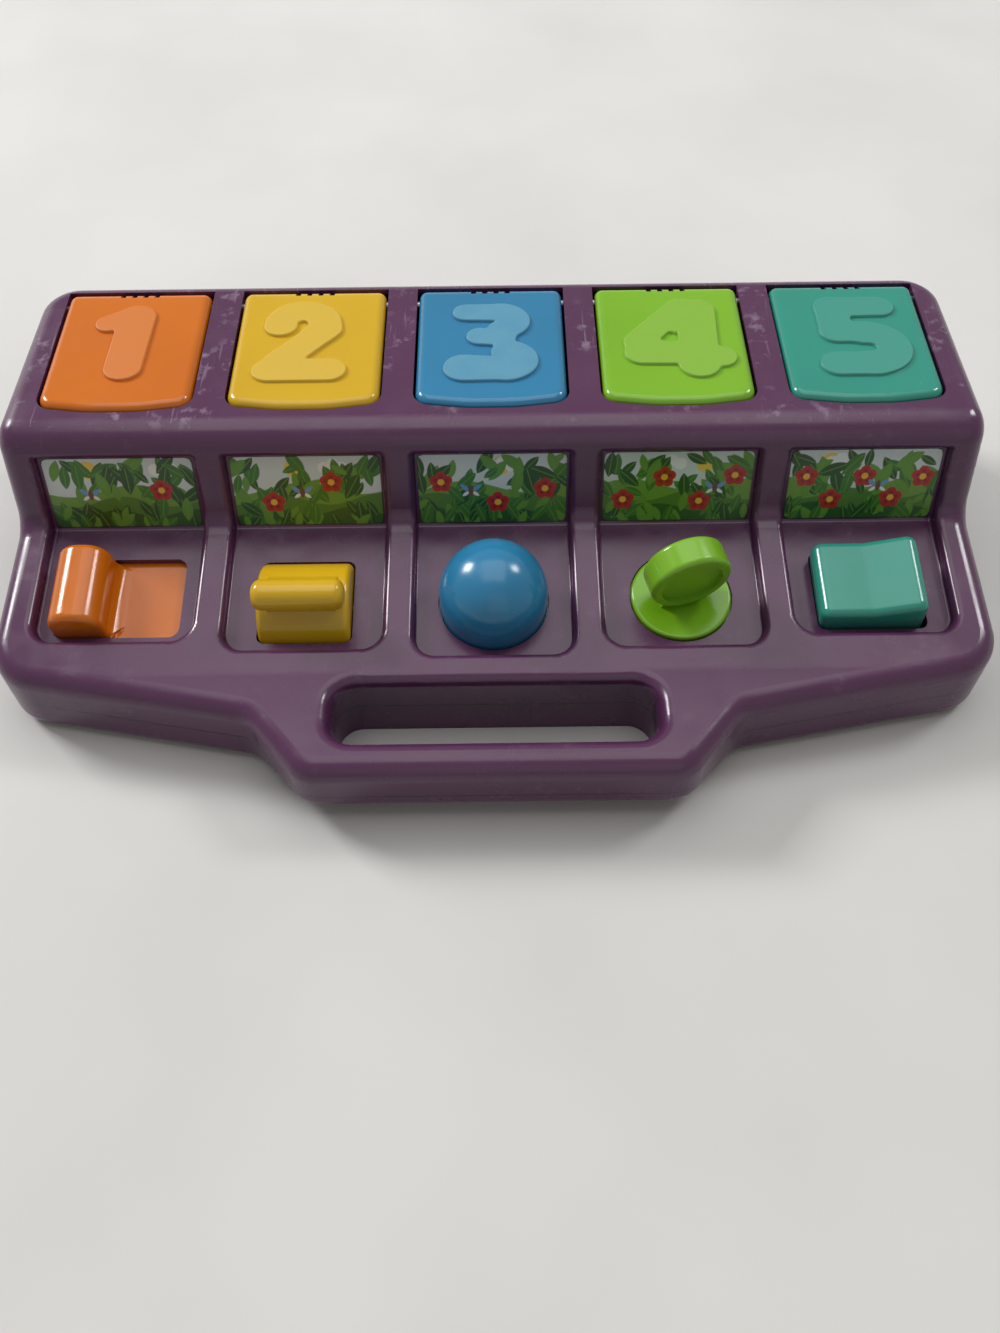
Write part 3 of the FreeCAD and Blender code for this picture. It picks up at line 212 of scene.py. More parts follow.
def moulded_abs(name, colour, shade):
    """ABS moulded in a polished tool: a clear highlight, a faint waviness, and greasy finger smears."""
    material, shader, at = new_material(name, IOR=1.53)
    cloud = add_node(material, "TexNoise", {"Vector": at, "Scale": per_metre(55), "Detail": 3})
    smear = add_node(material, "TexNoise", {"Vector": at, "Scale": per_metre(14), "Detail": 5})
    wave = add_node(material, "TexNoise", {"Vector": at, "Scale": per_metre(2.2)})
    base = tinted(material, cloud, 0.35, 0.7, 0.4, linear(colour), linear(shade))
    rough = add_node(material, "MapRange", {"Value": smear, "From Min": 0.45, "From Max": 0.75,
                                            "To Min": 0.17, "To Max": 0.3})
    bump = add_node(material, "Bump", {"Height": wave, "Distance": 0.012 * MM})
    drive(material, shader, Base_Color=base, Roughness=rough, Normal=bump)
    return material


def case_abs(name, colour, shade, scuff):
    """The case's ABS: polished as the lids, rubbed pale on the deck, with a painted shadow along its parting
    line.
    """
    material, shader, at = new_material(name, IOR=1.53)
    cloud = add_node(material, "TexNoise", {"Vector": at, "Scale": per_metre(70), "Detail": 3})
    patch = add_node(material, "TexNoise", {"Vector": at, "Scale": per_metre(30), "Detail": 2})
    fleck = add_node(material, "TexNoise", {"Vector": at, "Scale": per_metre(5.5), "Detail": 6,
                                            "Roughness": 0.62})
    along = add_node(material, "Mapping", {"Vector": at, "Rotation": (0, 0, 0.5), "Scale": (1, 0.06, 1)})
    line = add_node(material, "TexNoise", {"Vector": along, "Scale": per_metre(1.4), "Detail": 3})
    smear = add_node(material, "TexNoise", {"Vector": at, "Scale": per_metre(16), "Detail": 5})
    wave = add_node(material, "TexNoise", {"Vector": at, "Scale": per_metre(2.6)})
    level = add_node(material, "SeparateXYZ", {"Vector": at}, "Z")
    on_deck = add_node(material, "MapRange", {"Value": level, "From Min": DECK_RUB[0],
                                              "From Max": DECK_RUB[1], "To Min": 0.15})
    patched = add_node(material, "MapRange", {"Value": patch, "From Min": 0.47, "From Max": 0.6})
    rubbed = add_node(material, "MapRange", {"Value": fleck, "From Min": 0.55, "From Max": 0.7,
                                             "To Max": 0.5})
    scratched = add_node(material, "MapRange", {"Value": line, "From Min": 0.64, "From Max": 0.72,
                                                "To Max": 0.35})
    worn = add_node(material, "Math", {0: rubbed, 1: scratched}, operation="MAXIMUM")
    worn = add_node(material, "Math", {0: worn, 1: patched}, operation="MULTIPLY")
    worn = add_node(material, "Math", {0: worn, 1: on_deck}, operation="MULTIPLY")
    base = tinted(material, cloud, 0.35, 0.7, 0.35, linear(colour), linear(shade))
    base = tinted(material, worn, 0.0, 1.0, 1.0, base, linear(scuff))
    # Painted shadow: a near-black band along the parting line, where the case halves meet flush, stands for
    # the shade in a seam's groove.
    above_seam = add_node(material, "Math", {0: level, 1: PARTING}, operation="SUBTRACT")
    off_seam = add_node(material, "Math", {0: above_seam}, operation="ABSOLUTE")
    base = tinted(material, off_seam, SEAM_SHADOW_HALF + SEAM_SHADOW_FADE, SEAM_SHADOW_HALF, 1.0, base, linear("#160B1A"))
    dull = add_node(material, "MapRange", {"Value": smear, "From Min": 0.42, "From Max": 0.72,
                                           "To Min": 0.2, "To Max": 0.34})
    rough = add_node(material, "Math", {0: worn, 1: 0.5, 2: dull}, operation="MULTIPLY_ADD")
    bump = add_node(material, "Bump", {"Height": wave, "Distance": 0.014 * MM})
    drive(material, shader, Base_Color=base, Roughness=rough, Normal=bump)
    return material


def frosted_abs(name, colour, frost):
    """ABS whose raised face is spark-eroded: paler, duller and finely grained, with glossy flanks."""
    material, shader, at = new_material(name, IOR=1.53)
    level = add_node(material, "SeparateXYZ", {"Vector": at}, "Z")
    worn = add_node(material, "TexNoise", {"Vector": at, "Scale": per_metre(9), "Detail": 4})
    grain = add_node(material, "TexNoise", {"Vector": at, "Scale": per_metre(0.9)})
    face = add_node(material, "MapRange", {"Value": level, "From Min": LID_TOP + 0.6 * MM,
                                           "From Max": LID_TOP + 0.9 * MM})
    share = add_node(material, "MapRange", {"Value": worn, "From Min": 0.4, "From Max": 0.7,
                                            "To Min": 1.0, "To Max": 0.75})
    share = add_node(material, "Math", {0: face, 1: share}, operation="MULTIPLY")
    base = tinted(material, share, 0.0, 1.0, 1.0, linear(colour), linear(frost))
    rough = add_node(material, "MapRange", {"Value": face, "To Min": 0.2, "To Max": 0.5})
    bump = add_node(material, "Bump", {"Height": grain, "Distance": 0.04 * MM})
    drive(material, shader, Base_Color=base, Roughness=rough, Normal=bump)
    return material


def zinc_steel(name):
    """Zinc-plated steel wire and pins: bright, with a slightly uneven, dulled plating."""
    material, shader, at = new_material(name, Metallic=1.0)
    tone = add_node(material, "TexNoise", {"Vector": at, "Scale": per_metre(6), "Detail": 3})
    grain = add_node(material, "TexNoise", {"Vector": at, "Scale": per_metre(0.8)})
    rough = add_node(material, "MapRange", {"Value": grain, "From Min": 0.3, "From Max": 0.7,
                                            "To Min": 0.24, "To Max": 0.4})
    base = tinted(material, tone, 0.3, 0.7, 1.0, linear("#B9BBBD"), linear("#8E9194"))
    drive(material, shader, Base_Color=base, Roughness=rough)
    return material


def acetal(name):
    """Natural acetal, moulded: milky, waxy and a little dull."""
    material, shader, at = new_material(name, IOR=1.48)
    cloud = add_node(material, "TexNoise", {"Vector": at, "Scale": per_metre(12)})
    rough = add_node(material, "MapRange", {"Value": cloud, "From Min": 0.3, "From Max": 0.7,
                                            "To Min": 0.38, "To Max": 0.5})
    base = tinted(material, cloud, 0.3, 0.7, 1.0, linear("#E4E2DA"), linear("#D3D0C6"))
    drive(material, shader, Base_Color=base, Roughness=rough)
    return material


def vinyl(name, colour, shade, spots=(), patches=None):
    """Rotation-moulded vinyl, dull and a little uneven, sprayed in other colours over small round places.

    Each spot is a centre in metres, a radius in millimetres and a colour. Patches are a width and a colour.
    """
    material, shader, at = new_material(name, IOR=1.5)
    cloud = add_node(material, "TexNoise", {"Vector": at, "Scale": per_metre(18), "Detail": 3})
    grain = add_node(material, "TexNoise", {"Vector": at, "Scale": per_metre(1.2), "Detail": 3})
    base = tinted(material, cloud, 0.35, 0.7, 0.5, linear(colour), linear(shade))
    if patches:
        width, patch_colour = patches
        inside = add_node(material, "TexVoronoi", {"Vector": at, "Scale": per_metre(width)},
                          feature="DISTANCE_TO_EDGE")
        base = tinted(material, inside, 0.10, 0.15, 1.0, base, linear(patch_colour))
    for centre, radius, tint in spots:
        away = add_node(material, "VectorMath", {0: at, 1: centre}, "Value", operation="DISTANCE")
        near = add_node(material, "MapRange", {"Value": away, "From Min": (radius + SPRAY_EDGE) * MM,
                                               "From Max": (radius - SPRAY_EDGE) * MM})
        base = tinted(material, near, 0.0, 1.0, 1.0, base, linear(tint))
    rough = add_node(material, "MapRange", {"Value": cloud, "From Min": 0.35, "From Max": 0.7,
                                            "To Min": 0.38, "To Max": 0.52})
    bump = add_node(material, "Bump", {"Height": grain, "Distance": 0.03 * MM})
    drive(material, shader, Base_Color=base, Roughness=rough, Normal=bump)
    return material


def printed_film(name):
    """A printed label: the print is the piece's own colours, under a clear, glossy, handled film."""
    material, shader, at = new_material(name, IOR=1.5)
    ink = add_node(material, "VertexColor", {}, layer_name="print")
    smear = add_node(material, "TexNoise", {"Vector": at, "Scale": per_metre(9), "Detail": 4})
    rough = add_node(material, "MapRange", {"Value": smear, "From Min": 0.4, "From Max": 0.7,
                                            "To Min": 0.28, "To Max": 0.42})
    drive(material, shader, Base_Color=ink, Roughness=rough)
    return material


def lacquer(name, colour):
    """A small sprayed spot, such as an eye: lacquer over vinyl, shiny and slightly mottled."""
    material, shader, at = new_material(name, IOR=1.5)
    mottle = add_node(material, "TexNoise", {"Vector": at, "Scale": per_metre(1.5)})
    rough = add_node(material, "MapRange", {"Value": mottle, "From Min": 0.3, "From Max": 0.7,
                                            "To Min": 0.14, "To Max": 0.26})
    base = tinted(material, mottle, 0.35, 0.7, 0.15, linear(colour), linear("#3A3A3A"))
    drive(material, shader, Base_Color=base, Roughness=rough)
    return material


def cloth_cover(name):
    """A pale cotton cover on the table, not part of the toy: matt, with slow, faint changes of tone."""
    material, shader, at = new_material(name, IOR=1.4, Roughness=0.9)
    tone = add_node(material, "TexNoise", {"Vector": at, "Scale": per_metre(160), "Detail": 3})
    base = tinted(material, tone, 0.35, 0.7, 1.0, linear("#DAD9D6"), linear("#D0CFCC"))
    drive(material, shader, Base_Color=base)
    return material


ACTUATORS = ("slider", "flip_lever", "push_button", "dial", "rocker")
# Each lid's colour in words, its ABS, the darker clouds in it, and the frosted face of its numeral
LID_LOOKS = (
    ("orange", "#D06D02", "#BA5A08", "#CC7018"),
    ("yellow", "#D4AB14", "#BC900E", "#D0AC30"),
    ("blue", "#297DA8", "#236C90", "#5493AE"),
    ("green", "#7BB31E", "#68A016", "#80B030"),
    ("teal", "#2A907E", "#1E7A6A", "#348F80"),
)

purple_abs = case_abs("Purple moulded ABS", "#52294D", "#452042", "#A08C9F")
lid_abs = [moulded_abs(f"{word.title()} moulded ABS", colour, shade) for word, colour, shade, _ in LID_LOOKS]
frosted = [frosted_abs(f"{word.title()} frosted ABS", colour, frost) for word, colour, _, frost in LID_LOOKS]
steel = zinc_steel("Zinc-plated steel")
white_acetal = acetal("Natural acetal")
label_film = printed_film("Printed label film")

for node in ("top_case", "bottom_case"):
    paint(frame["nodes"][node], purple_abs)
paint(frame["nodes"]["case_screws"], steel)
for bay in BAYS:
    paint(frame["nodes"][f"lid_{bay + 1}"], lid_abs[bay])
    paint(frame["nodes"][ACTUATORS[bay]], lid_abs[bay])
    paint(frame["nodes"][f"latch_{bay + 1}"], white_acetal)
    paint(frame["nodes"][f"hinge_pin_{bay + 1}"], steel)


# Raised numerals on the lids

NUMERAL_RISE = 1.1 * MM
NUMERAL_SINK = 0.6 * MM
# Millimetres: width of the edge that rises, the grid's step, and the grid's ends across and along the lid
NUMERAL_EDGE = 0.75
NUMERAL_STEP = 0.3
NUMERAL_ACROSS = (-24.0, 25.5)
NUMERAL_ALONG = (35.0, 89.0)
# The strokes are drawn in towards their front by this share, so that they clear the case on an open lid
NUMERAL_FRONT = 38.0
NUMERAL_SHARE = 0.915
# How far the inner corners between strokes are rounded, and a distance past every stroke
STROKE_BLEND = 1.5
FAR = 99.0
# Each numeral is a union of round-ended strokes. An end is its place across and along, and its radius.
STROKES = {
    1: (((0.9, 47.3, 7.3), (1.6, 79.3, 7.4)), ((0.6, 79.8, 6.4), (-8.8, 75.2, 5.2))),
    2: (((-13.3, 44.9, 6.7), (8.7, 44.9, 6.7)), ((6.2, 70.0, 6.2), (-9.8, 50.2, 6.4))),
    3: (((-9.4, 79.6, 5.2), (4.3, 79.4, 5.5)), ((-4.1, 64.3, 5.2), (4.6, 63.4, 5.2)),
        ((-9.9, 45.0, 7.9), (5.9, 44.3, 7.0))),
    4: (((10.4, 79.4, 7.4), (8.6, 45.6, 7.8)), ((4.7, 80.2, 6.9), (-11.9, 59.5, 6.9)),
        ((-11.9, 53.0, 7.0), (9.0, 52.6, 7.0)), ((9.0, 51.0, 6.6), (16.9, 50.0, 6.2))),
    5: (((-6.3, 80.3, 6.3), (11.9, 80.4, 6.2)), ((-6.3, 80.3, 6.5), (-6.3, 64.8, 6.5)),
        ((-6.3, 64.6, 6.3), (4.2, 64.0, 6.5)), ((-8.6, 45.0, 7.0), (4.2, 45.1, 7.0))),
}
# Arcs are a centre, a radius, a stroke's radius, and the first and last angle in degrees
ARCS = {
    2: ((-2.9, 73.3, 8.4, 6.5, -40.0, 185.0),),
    3: ((4.3, 73.9, 5.4, 5.6, -90.0, 90.0), (5.9, 49.3, 5.2, 6.8, -90.0, 80.0)),
    5: ((4.2, 54.4, 9.3, 6.8, -92.0, 92.0),),
}
# The small hole left in a numeral is a stroke too
EYES = {4: ((-3.2, 61.2, 1.1), (-0.6, 63.8, 1.6))}


def stroke_distance(x, y, start, end):
    """Distance to a segment less a radius that goes evenly from one end's to the other's."""
    along = np.array(end[:2]) - np.array(start[:2])
    share = ((x - start[0]) * along[0] + (y - start[1]) * along[1]) / (along @ along)
    share = np.clip(share, 0, 1)
    gap = np.hypot(x - start[0] - share * along[0], y - start[1] - share * along[1])
    return gap - (start[2] + share * (end[2] - start[2]))


def arc_distance(x, y, arc):
    """Distance to an arc of a circle less the stroke's radius."""
    cx, cy, radius, stroke, first, last = arc
    angle = np.degrees(np.arctan2(y - cy, x - cx))
    middle = (first + last) / 2
    angle = middle + np.clip((angle - middle + 180) % 360 - 180, first - middle, last - middle)
    angle = np.radians(angle)
    return np.hypot(x - cx - radius * np.cos(angle), y - cy - radius * np.sin(angle)) - stroke


def soft_least(first, second):
    """The smaller of two distances, less blend * s (1 - s) where they are near each other."""
    share = np.clip(0.5 + (second - first) / (2 * STROKE_BLEND), 0, 1)
    return second + share * (first - second) - STROKE_BLEND * share * (1 - share)


def numeral(bay):
    """A closed slab whose upper face rises by s^2 (3 - 2 s), with s from the distance to the strokes."""
    number = bay + 1
    x = np.arange(*NUMERAL_ACROSS, NUMERAL_STEP)
    y = np.arange(*NUMERAL_ALONG, NUMERAL_STEP)
    x, y = np.meshgrid(x, y, indexing="ij")
    gap = np.full(x.shape, FAR)
    for start, end in STROKES[number]:
        gap = soft_least(gap, stroke_distance(x, y, start, end))
    for arc in ARCS.get(number, ()):
        gap = soft_least(gap, arc_distance(x, y, arc))
    if number in EYES:
        gap = np.maximum(gap, -stroke_distance(x, y, *EYES[number]))
    share = np.clip(0.5 - gap / NUMERAL_EDGE, 0, 1)
    rise = share * share * (3 - 2 * share)
    z = LID_TOP - NUMERAL_SINK + rise * (NUMERAL_RISE + NUMERAL_SINK)
    y = NUMERAL_FRONT + (y - NUMERAL_FRONT) * NUMERAL_SHARE
    upper = np.stack([x * MM + lid_middles[bay], y * MM, z], -1)
    lower = upper.copy()
    lower[..., 2] = LID_TOP - 2 * NUMERAL_SINK
    keep = gap < 2 * NUMERAL_EDGE
    return closed_slab(f"numeral_{number}", upper, lower, keep)


def closed_slab(name, upper, lower, keep):
    """The upper and lower faces of the kept cells of a grid, joined by walls along their outline."""
    rows, columns = keep.shape
    cell = keep[:-1, :-1] & keep[1:, :-1] & keep[1:, 1:] & keep[:-1, 1:]
    index = np.arange(rows * columns).reshape(rows, columns)
    count = rows * columns
    corners = np.stack([index[:-1, :-1], index[1:, :-1], index[1:, 1:], index[:-1, 1:]], -1)
    top = corners[cell]
    bottom = top[:, ::-1] + count
    edges = np.concatenate([top[:, [i, (i + 1) % 4]] for i in range(4)])
    key = np.minimum(edges[:, 0], edges[:, 1]) * count + np.maximum(edges[:, 0], edges[:, 1])
    _, first, times = np.unique(key, return_index=True, return_counts=True)
    rim = edges[first[times == 1]]
    walls = np.stack([rim[:, 1], rim[:, 0], rim[:, 0] + count, rim[:, 1] + count], -1)
    faces = np.concatenate([top, bottom, walls])
    points = np.concatenate([upper.reshape(-1, 3), lower.reshape(-1, 3)])
    used = np.unique(faces)
    fresh = np.zeros(len(points), int)
    fresh[used] = np.arange(len(used))
    return mesh_object(name, points[used], fresh[faces].tolist())


for bay in BAYS:
    finish_piece(numeral(bay), f"lid_{bay + 1}", frosted[bay])


# Picture labels: a garden of our own on each, painted from simple shapes

# Millimetres: the grid's step, the plate's thickness and its corners' radius; and its slope in degrees
LABEL_STEP = 0.2
LABEL_THICK = 0.3
LABEL_CORNER = 2.0
LABEL_SLOPE = 72.0
SKY, CLOUD = "#CFD9D6", "#E9ECE9"
HILLS = ("#6E9A3A", "#4F7C2E", "#2F5A26")
LEAVES = ("#3C7426", "#629434", "#254F20")
PETAL, PETAL_DARK, HEART = "#B3271F", "#8A1B18", "#E9B93A"
SUN, WING, TRUNK = "#EBC94C", "#6E9BC4", "#6B4A2C"
# Half the width of a leaf's vein, and the width over which a shape's edge fades
VEIN = 0.14
INK_EDGE = 0.18
FLOWER_SIZE = 4.2
BUTTERFLY_SIZE = 4.4
# As many flowers as the lid's number, from the middle of a label's lower edge
FLOWER_PLACES = {
    1: ((14.5, 15.0),),
    2: ((-13.0, 9.5), (9.0, 17.5)),
    3: ((-19.0, 17.0), (2.0, 8.5), (19.5, 14.0)),
    4: ((-20.0, 9.0), (-5.0, 18.0), (8.5, 8.0), (21.0, 18.5)),
    5: ((-21.0, 17.5), (-11.0, 8.0), (0.5, 17.5), (11.5, 8.5), (22.0, 17.0)),
}
# How many leaves, the band they grow in, their lengths, and their turns in degrees
UPPER_SPRAY = (42, (11, 26), (6.5, 12.0), (20, 160))
LOWER_SPRAY = (34, (0, 8), (5.5, 10.0), (35, 145))
SPRAY_REACH = 27
BUTTERFLY_PLACES = {1: (-12.0, 13.5), 2: (-2.0, 13.5), 3: (-8.0, 13.5), 4: (14.0, 13.5), 5: (6.0, 13.5)}


def soft_mask(distance):
    """1 inside a shape and 0 outside it, over a short edge."""
    return np.clip(0.5 - distance / INK_EDGE, 0, 1)


def leaf_distance(u, v, cu, cv, length, turn):
    """Where two equal discs overlap: a pointed leaf of this length, turned by an angle in degrees."""
    angle = math.radians(turn)
    along = (u - cu) * math.cos(angle) + (v - cv) * math.sin(angle)
    across = -(u - cu) * math.sin(angle) + (v - cv) * math.cos(angle)
    radius = 0.72 * length
    shift = math.sqrt(radius ** 2 - (length / 2) ** 2)
    return np.maximum(np.hypot(along, across - shift), np.hypot(along, across + shift)) - radius


class Painting:
    """Layers of flat colour on a grid of points, in linear light. Places and sizes are in millimetres."""

    def __init__(self, u, v):
        self.u = u
        self.v = v
        self.colour = np.tile(np.array(linear(SKY)), u.shape + (1,))

    def layer(self, mask, code):
        """Goes to a colour by the mask's share."""
        self.colour += mask[..., None] * (np.array(linear(code)) - self.colour)

    def disc(self, cu, cv, radius, code):
        """A round spot: distance to its centre less its radius."""
        self.layer(soft_mask(np.hypot(self.u - cu, self.v - cv) - radius), code)

    def leaf(self, cu, cv, length, turn, code, vein=None):
        """A pointed leaf, and a vein along most of it where one is asked for."""
        self.layer(soft_mask(leaf_distance(self.u, self.v, cu, cv, length, turn)), code)
        if vein:
            along = 0.42 * length * math.cos(math.radians(turn))
            rise = 0.42 * length * math.sin(math.radians(turn))
            ends = (cu - along, cv - rise, VEIN), (cu + along, cv + rise, VEIN)
            self.layer(soft_mask(stroke_distance(self.u, self.v, *ends)), vein)

    def hill(self, base, swell, length, phase, code):
        """Everything under the line base + swell sin(u / length + phase)."""
        ridge = base + swell * np.sin(self.u / length + phase)
        self.layer(soft_mask(self.v - ridge), code)

    def flower(self, cu, cv, size):
        """Five round petals, each with a darker middle, round a yellow heart."""
        for step in range(5):
            angle = math.radians(90 + 72 * step)
            across = size * math.cos(angle)
            up = size * math.sin(angle)
            self.disc(cu + 0.58 * across, cv + 0.58 * up, 0.46 * size, PETAL)
            self.disc(cu + 0.5 * across, cv + 0.5 * up, 0.2 * size, PETAL_DARK)
        self.disc(cu, cv, 0.3 * size, HEART)

    def butterfly(self, cu, cv, size):
        """Two leaf-shaped wings on each side of a leaf-shaped body."""
        for side in (-1, 1):
            self.leaf(cu + side * 0.5 * size, cv + 0.25 * size, size, 90 - side * 50, WING)
            self.leaf(cu + side * 0.4 * size, cv - 0.3 * size, 0.75 * size, 90 + side * 55, CLOUD)
        self.leaf(cu, cv, 1.1 * size, 90, TRUNK)


def grow(art, draw, count, band, lengths, turns):
    """Leaves of drawn place, length, turn and green, scattered evenly over a band."""
    for _ in range(count):
        art.leaf(draw.uniform(-SPRAY_REACH, SPRAY_REACH), draw.uniform(*band), draw.uniform(*lengths),
                 draw.uniform(*turns), LEAVES[draw.integers(3)], HILLS[0])


def label_print(number, u, v):
    """Sky, sun and cloud, three hills, leafy sprays, then the counted flowers and a butterfly."""
    art = Painting(u, v)
    draw = np.random.default_rng(40 + number)
    art.disc(-18 + 7 * number % 30, 23.5, 3.6, SUN)
    for step in range(3):
        art.disc(20 - 6.5 * number + 3.2 * step, 23.5 + (step == 1) * 1.2, 2.4, CLOUD)
    art.hill(15.0, 2.4, 7.5, number, HILLS[0])
    art.hill(10.5, 2.2, 6.0, 1.7 * number, HILLS[1])
    grow(art, draw, *UPPER_SPRAY)
    art.hill(5.5, 1.6, 4.6, 2.3 * number, HILLS[2])
    grow(art, draw, *LOWER_SPRAY)
    for cu, cv in FLOWER_PLACES[number]:
        art.flower(cu, cv, FLOWER_SIZE)
    art.butterfly(*BUTTERFLY_PLACES[number], BUTTERFLY_SIZE)
    return art.colour


def nearest_cell(share, cells):
    """The grid's line nearest to each share of its length."""
    return np.clip(np.rint(share * (cells - 1)).astype(int), 0, cells - 1)


def label_piece(bay):
    """A thin closed sheet where the CAD plate lies: foot + u across + v up, with rounded corners.

    Its print is kept as the colour of each point, taken from the grid line nearest to it.
    """
    low, high = label_boxes[bay]
    thick = LABEL_THICK * MM
    slope = math.radians(LABEL_SLOPE)
    up = np.array([0.0, math.cos(slope), math.sin(slope)])
    out = np.array([0.0, -math.sin(slope), math.cos(slope)])
    width = (high[0] - low[0]) / MM
    tall = (high[2] - low[2] - thick * math.cos(slope)) / math.sin(slope) / MM
    foot = np.array([(low[0] + high[0]) / 2, low[1] + thick * math.sin(slope), low[2]])
    u = np.linspace(-width / 2, width / 2, int(width / LABEL_STEP))
    v = np.linspace(0, tall, int(tall / LABEL_STEP))
    u, v = np.meshgrid(u, v, indexing="ij")
    colour = label_print(bay + 1, u, v)
    inner_u = np.maximum(np.abs(u) - (width / 2 - LABEL_CORNER), 0)
    inner_v = np.maximum(np.abs(v - tall / 2) - (tall / 2 - LABEL_CORNER), 0)
    keep = np.hypot(inner_u, inner_v) <= LABEL_CORNER + 1e-6
    face = foot + u[..., None] * MM * np.array([1.0, 0, 0]) + v[..., None] * MM * up
    upper = face + out * thick
    lower = face + out * 0.1 * thick
    piece = closed_slab(f"picture_label_{bay + 1}", upper, lower, keep)
    places = np.empty(len(piece.data.vertices) * 3)
    piece.data.vertices.foreach_get("co", places)
    from_foot = places.reshape(-1, 3) - foot
    at_u = nearest_cell((from_foot[:, 0] / MM + width / 2) / width, u.shape[0])
    at_v = nearest_cell((from_foot @ up) / MM / tall, u.shape[1])
    layer = piece.data.color_attributes.new("print", "FLOAT_COLOR", "POINT")
    layer.data.foreach_set("color", colour[at_u, at_v].reshape(-1))
    return piece


for bay in BAYS:
    label = label_piece(bay)
    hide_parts(f"label_{bay + 1}")
    finish_piece(label, "case", label_film)


# Springs

# Wire's radius, turns in each coil, and points in each turn
LID_WIRE = 0.42 * MM
LID_TURNS = 9
BUTTON_WIRE = 0.4 * MM
BUTTON_TURNS = 8
TURN_POINTS = 22


def helix(start, along, side, radius, length, turns):
    """The points start + t length along + radius (cos a side + sin a other), where a is 2 pi turns t."""
    other = np.cross(along, side)
    share = np.linspace(0, 1, turns * TURN_POINTS)[:, None]
    angle = 2 * np.pi * turns * share
    return start + share * length * along + radius * (np.cos(angle) * side + np.sin(angle) * other)


def lid_coil(bay):
    """The turns of a torsion spring round its hinge pin, as one wound wire."""
    low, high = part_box(f"lid_spring_{bay + 1}")
    radius = (high[2] - low[2]) / 2 - LID_WIRE
    start = np.array([low[0] + LID_WIRE, HINGE_Y, HINGE_Z])
    length = high[0] - low[0] - 2 * LID_WIRE
    path = helix(start, np.array([1.0, 0, 0]), np.array([0, 0, -1.0]), radius, length, LID_TURNS)
    return tube(f"lid_coil_{bay + 1}", path, LID_WIRE)


for bay in BAYS:
    coil = lid_coil(bay)
    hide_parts(f"lid_spring_{bay + 1}")
    finish_piece(coil, "case", steel)

low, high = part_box("button_spring")
spring_half = (high[1] - low[1]) / 2
spring_middle = (low[1] + high[1]) / 2
for number, x in enumerate((low[0] + spring_half, high[0] - spring_half), start=1):
    start = np.array([x, spring_middle, low[2] + BUTTON_WIRE])
    path = helix(start, np.array([0, 0, 1.0]), np.array([1.0, 0, 0]), spring_half - BUTTON_WIRE,
                 high[2] - low[2] - 2 * BUTTON_WIRE, BUTTON_TURNS)
    spring = tube(f"button_coil_{number}", path, BUTTON_WIRE)
    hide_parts("button_spring")
    finish_piece(spring, "case", steel)
    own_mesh(spring)


# Animals' heads. Places are in millimetres from a head's middle: x to the side, y to the chin, z to the lid.

HEAD_Y, HEAD_Z = 58.0 * MM, 53.2 * MM
GLINT_HALF_SIZES = (0.5 * MM, 0.5 * MM, 0.35 * MM)
MOUTH_WIRE = 0.38 * MM
MOUTH_BEND = 1.6
# A place off the middle line stands for both sides. A coat is the vinyl's colour and its clouds' colour,
# patches are a width and a colour, and a spot is a place, a radius and a colour. An eye is a place and a
# radius, a nose or nostril a place and its half sizes, and a mouth its half width, y and z.
ANIMALS = (
    {"name": "Giraffe", "coat": ("#E9B64A", "#D89A2C"), "patches": (9.0, "#B06A24"),
     "spots": ((0, 9, -5, 9.7, "#F0D79A"), (6, -22, 0, 3.3, "#6B4120")),
     "eye": (5.4, -6.5, -10.6, 1.9), "nose": (3.2, 9.5, -13.6, (1.2, 0.9, 0.8)), "lacquer": "#6B4120"},
    {"name": "Elephant", "coat": ("#98A2B5", "#848EA3"),
     "spots": ((15, -3, -1.2, 7.5, "#D9A5A8"),),
     "eye": (6.2, -4.5, -13.2, 2.0), "nose": (2.4, 18.6, -15.4, (0.8, 0.6, 0.8)), "lacquer": "#7B8499"},
    {"name": "Panda", "coat": ("#EFEDE6", "#DCD8CE"), "mouth": (4.2, 8.2, -16.9),
     "spots": ((12.5, -12.5, 2, 7.6, "#232326"), (6.2, -4, -14.6, 4.6, "#232326")),
     "eye": (6.2, -4.0, -14.8, 2.0), "nose": (0, 4.0, -17.7, (2.6, 1.7, 1.3)), "lacquer": "#1B1B1D"},
    {"name": "Lion", "coat": ("#A85A1E", "#8C4614"), "mouth": (3.8, 8.4, -16.9),
     "spots": ((0, 0, -1, 14.5, "#EDB04A"), (0, 6, -11, 7.3, "#F3D594"), (11, -12, -1, 4.5, "#EDB04A")),
     "eye": (5.4, -3.5, -13.4, 1.9), "nose": (0, 3.6, -17.6, (2.8, 1.8, 1.2)), "lacquer": "#5A2F18"},
    {"name": "Monkey", "coat": ("#7A4B2A", "#643A1E"), "mouth": (5.2, 8.0, -15.2),
     "spots": ((0, 6, -6, 10.1, "#E5BE91"), (17, 1, -0.8, 4.8, "#E5BE91"), (5.0, -4, -13.5, 5.0, "#E5BE91")),
     "eye": (5.0, -4.5, -14.2, 2.0), "nose": (1.6, 3.5, -15.4, (0.9, 0.6, 0.7)), "lacquer": "#7E5230"},
)


def head_point(bay, x, y, z):
    """A place on a head, in metres from the origin."""
    return (lid_middles[bay] + x * MM, HEAD_Y + y * MM, HEAD_Z + z * MM)


def sides_of(x):
    """Both sides for a place off the middle line, and one for a place on it."""
    return (("left", -1), ("right", 1)) if x else (("middle", 0),)


def coat_vinyl(bay):
    """An animal's vinyl, with its spots where they lie on its own head."""
    animal = ANIMALS[bay]
    spots = [(head_point(bay, side * x, y, z), radius, colour)
             for x, y, z, radius, colour in animal["spots"] for _, side in sides_of(x)]
    return vinyl(f"{animal['name']} vinyl", *animal["coat"], spots, animal.get("patches"))


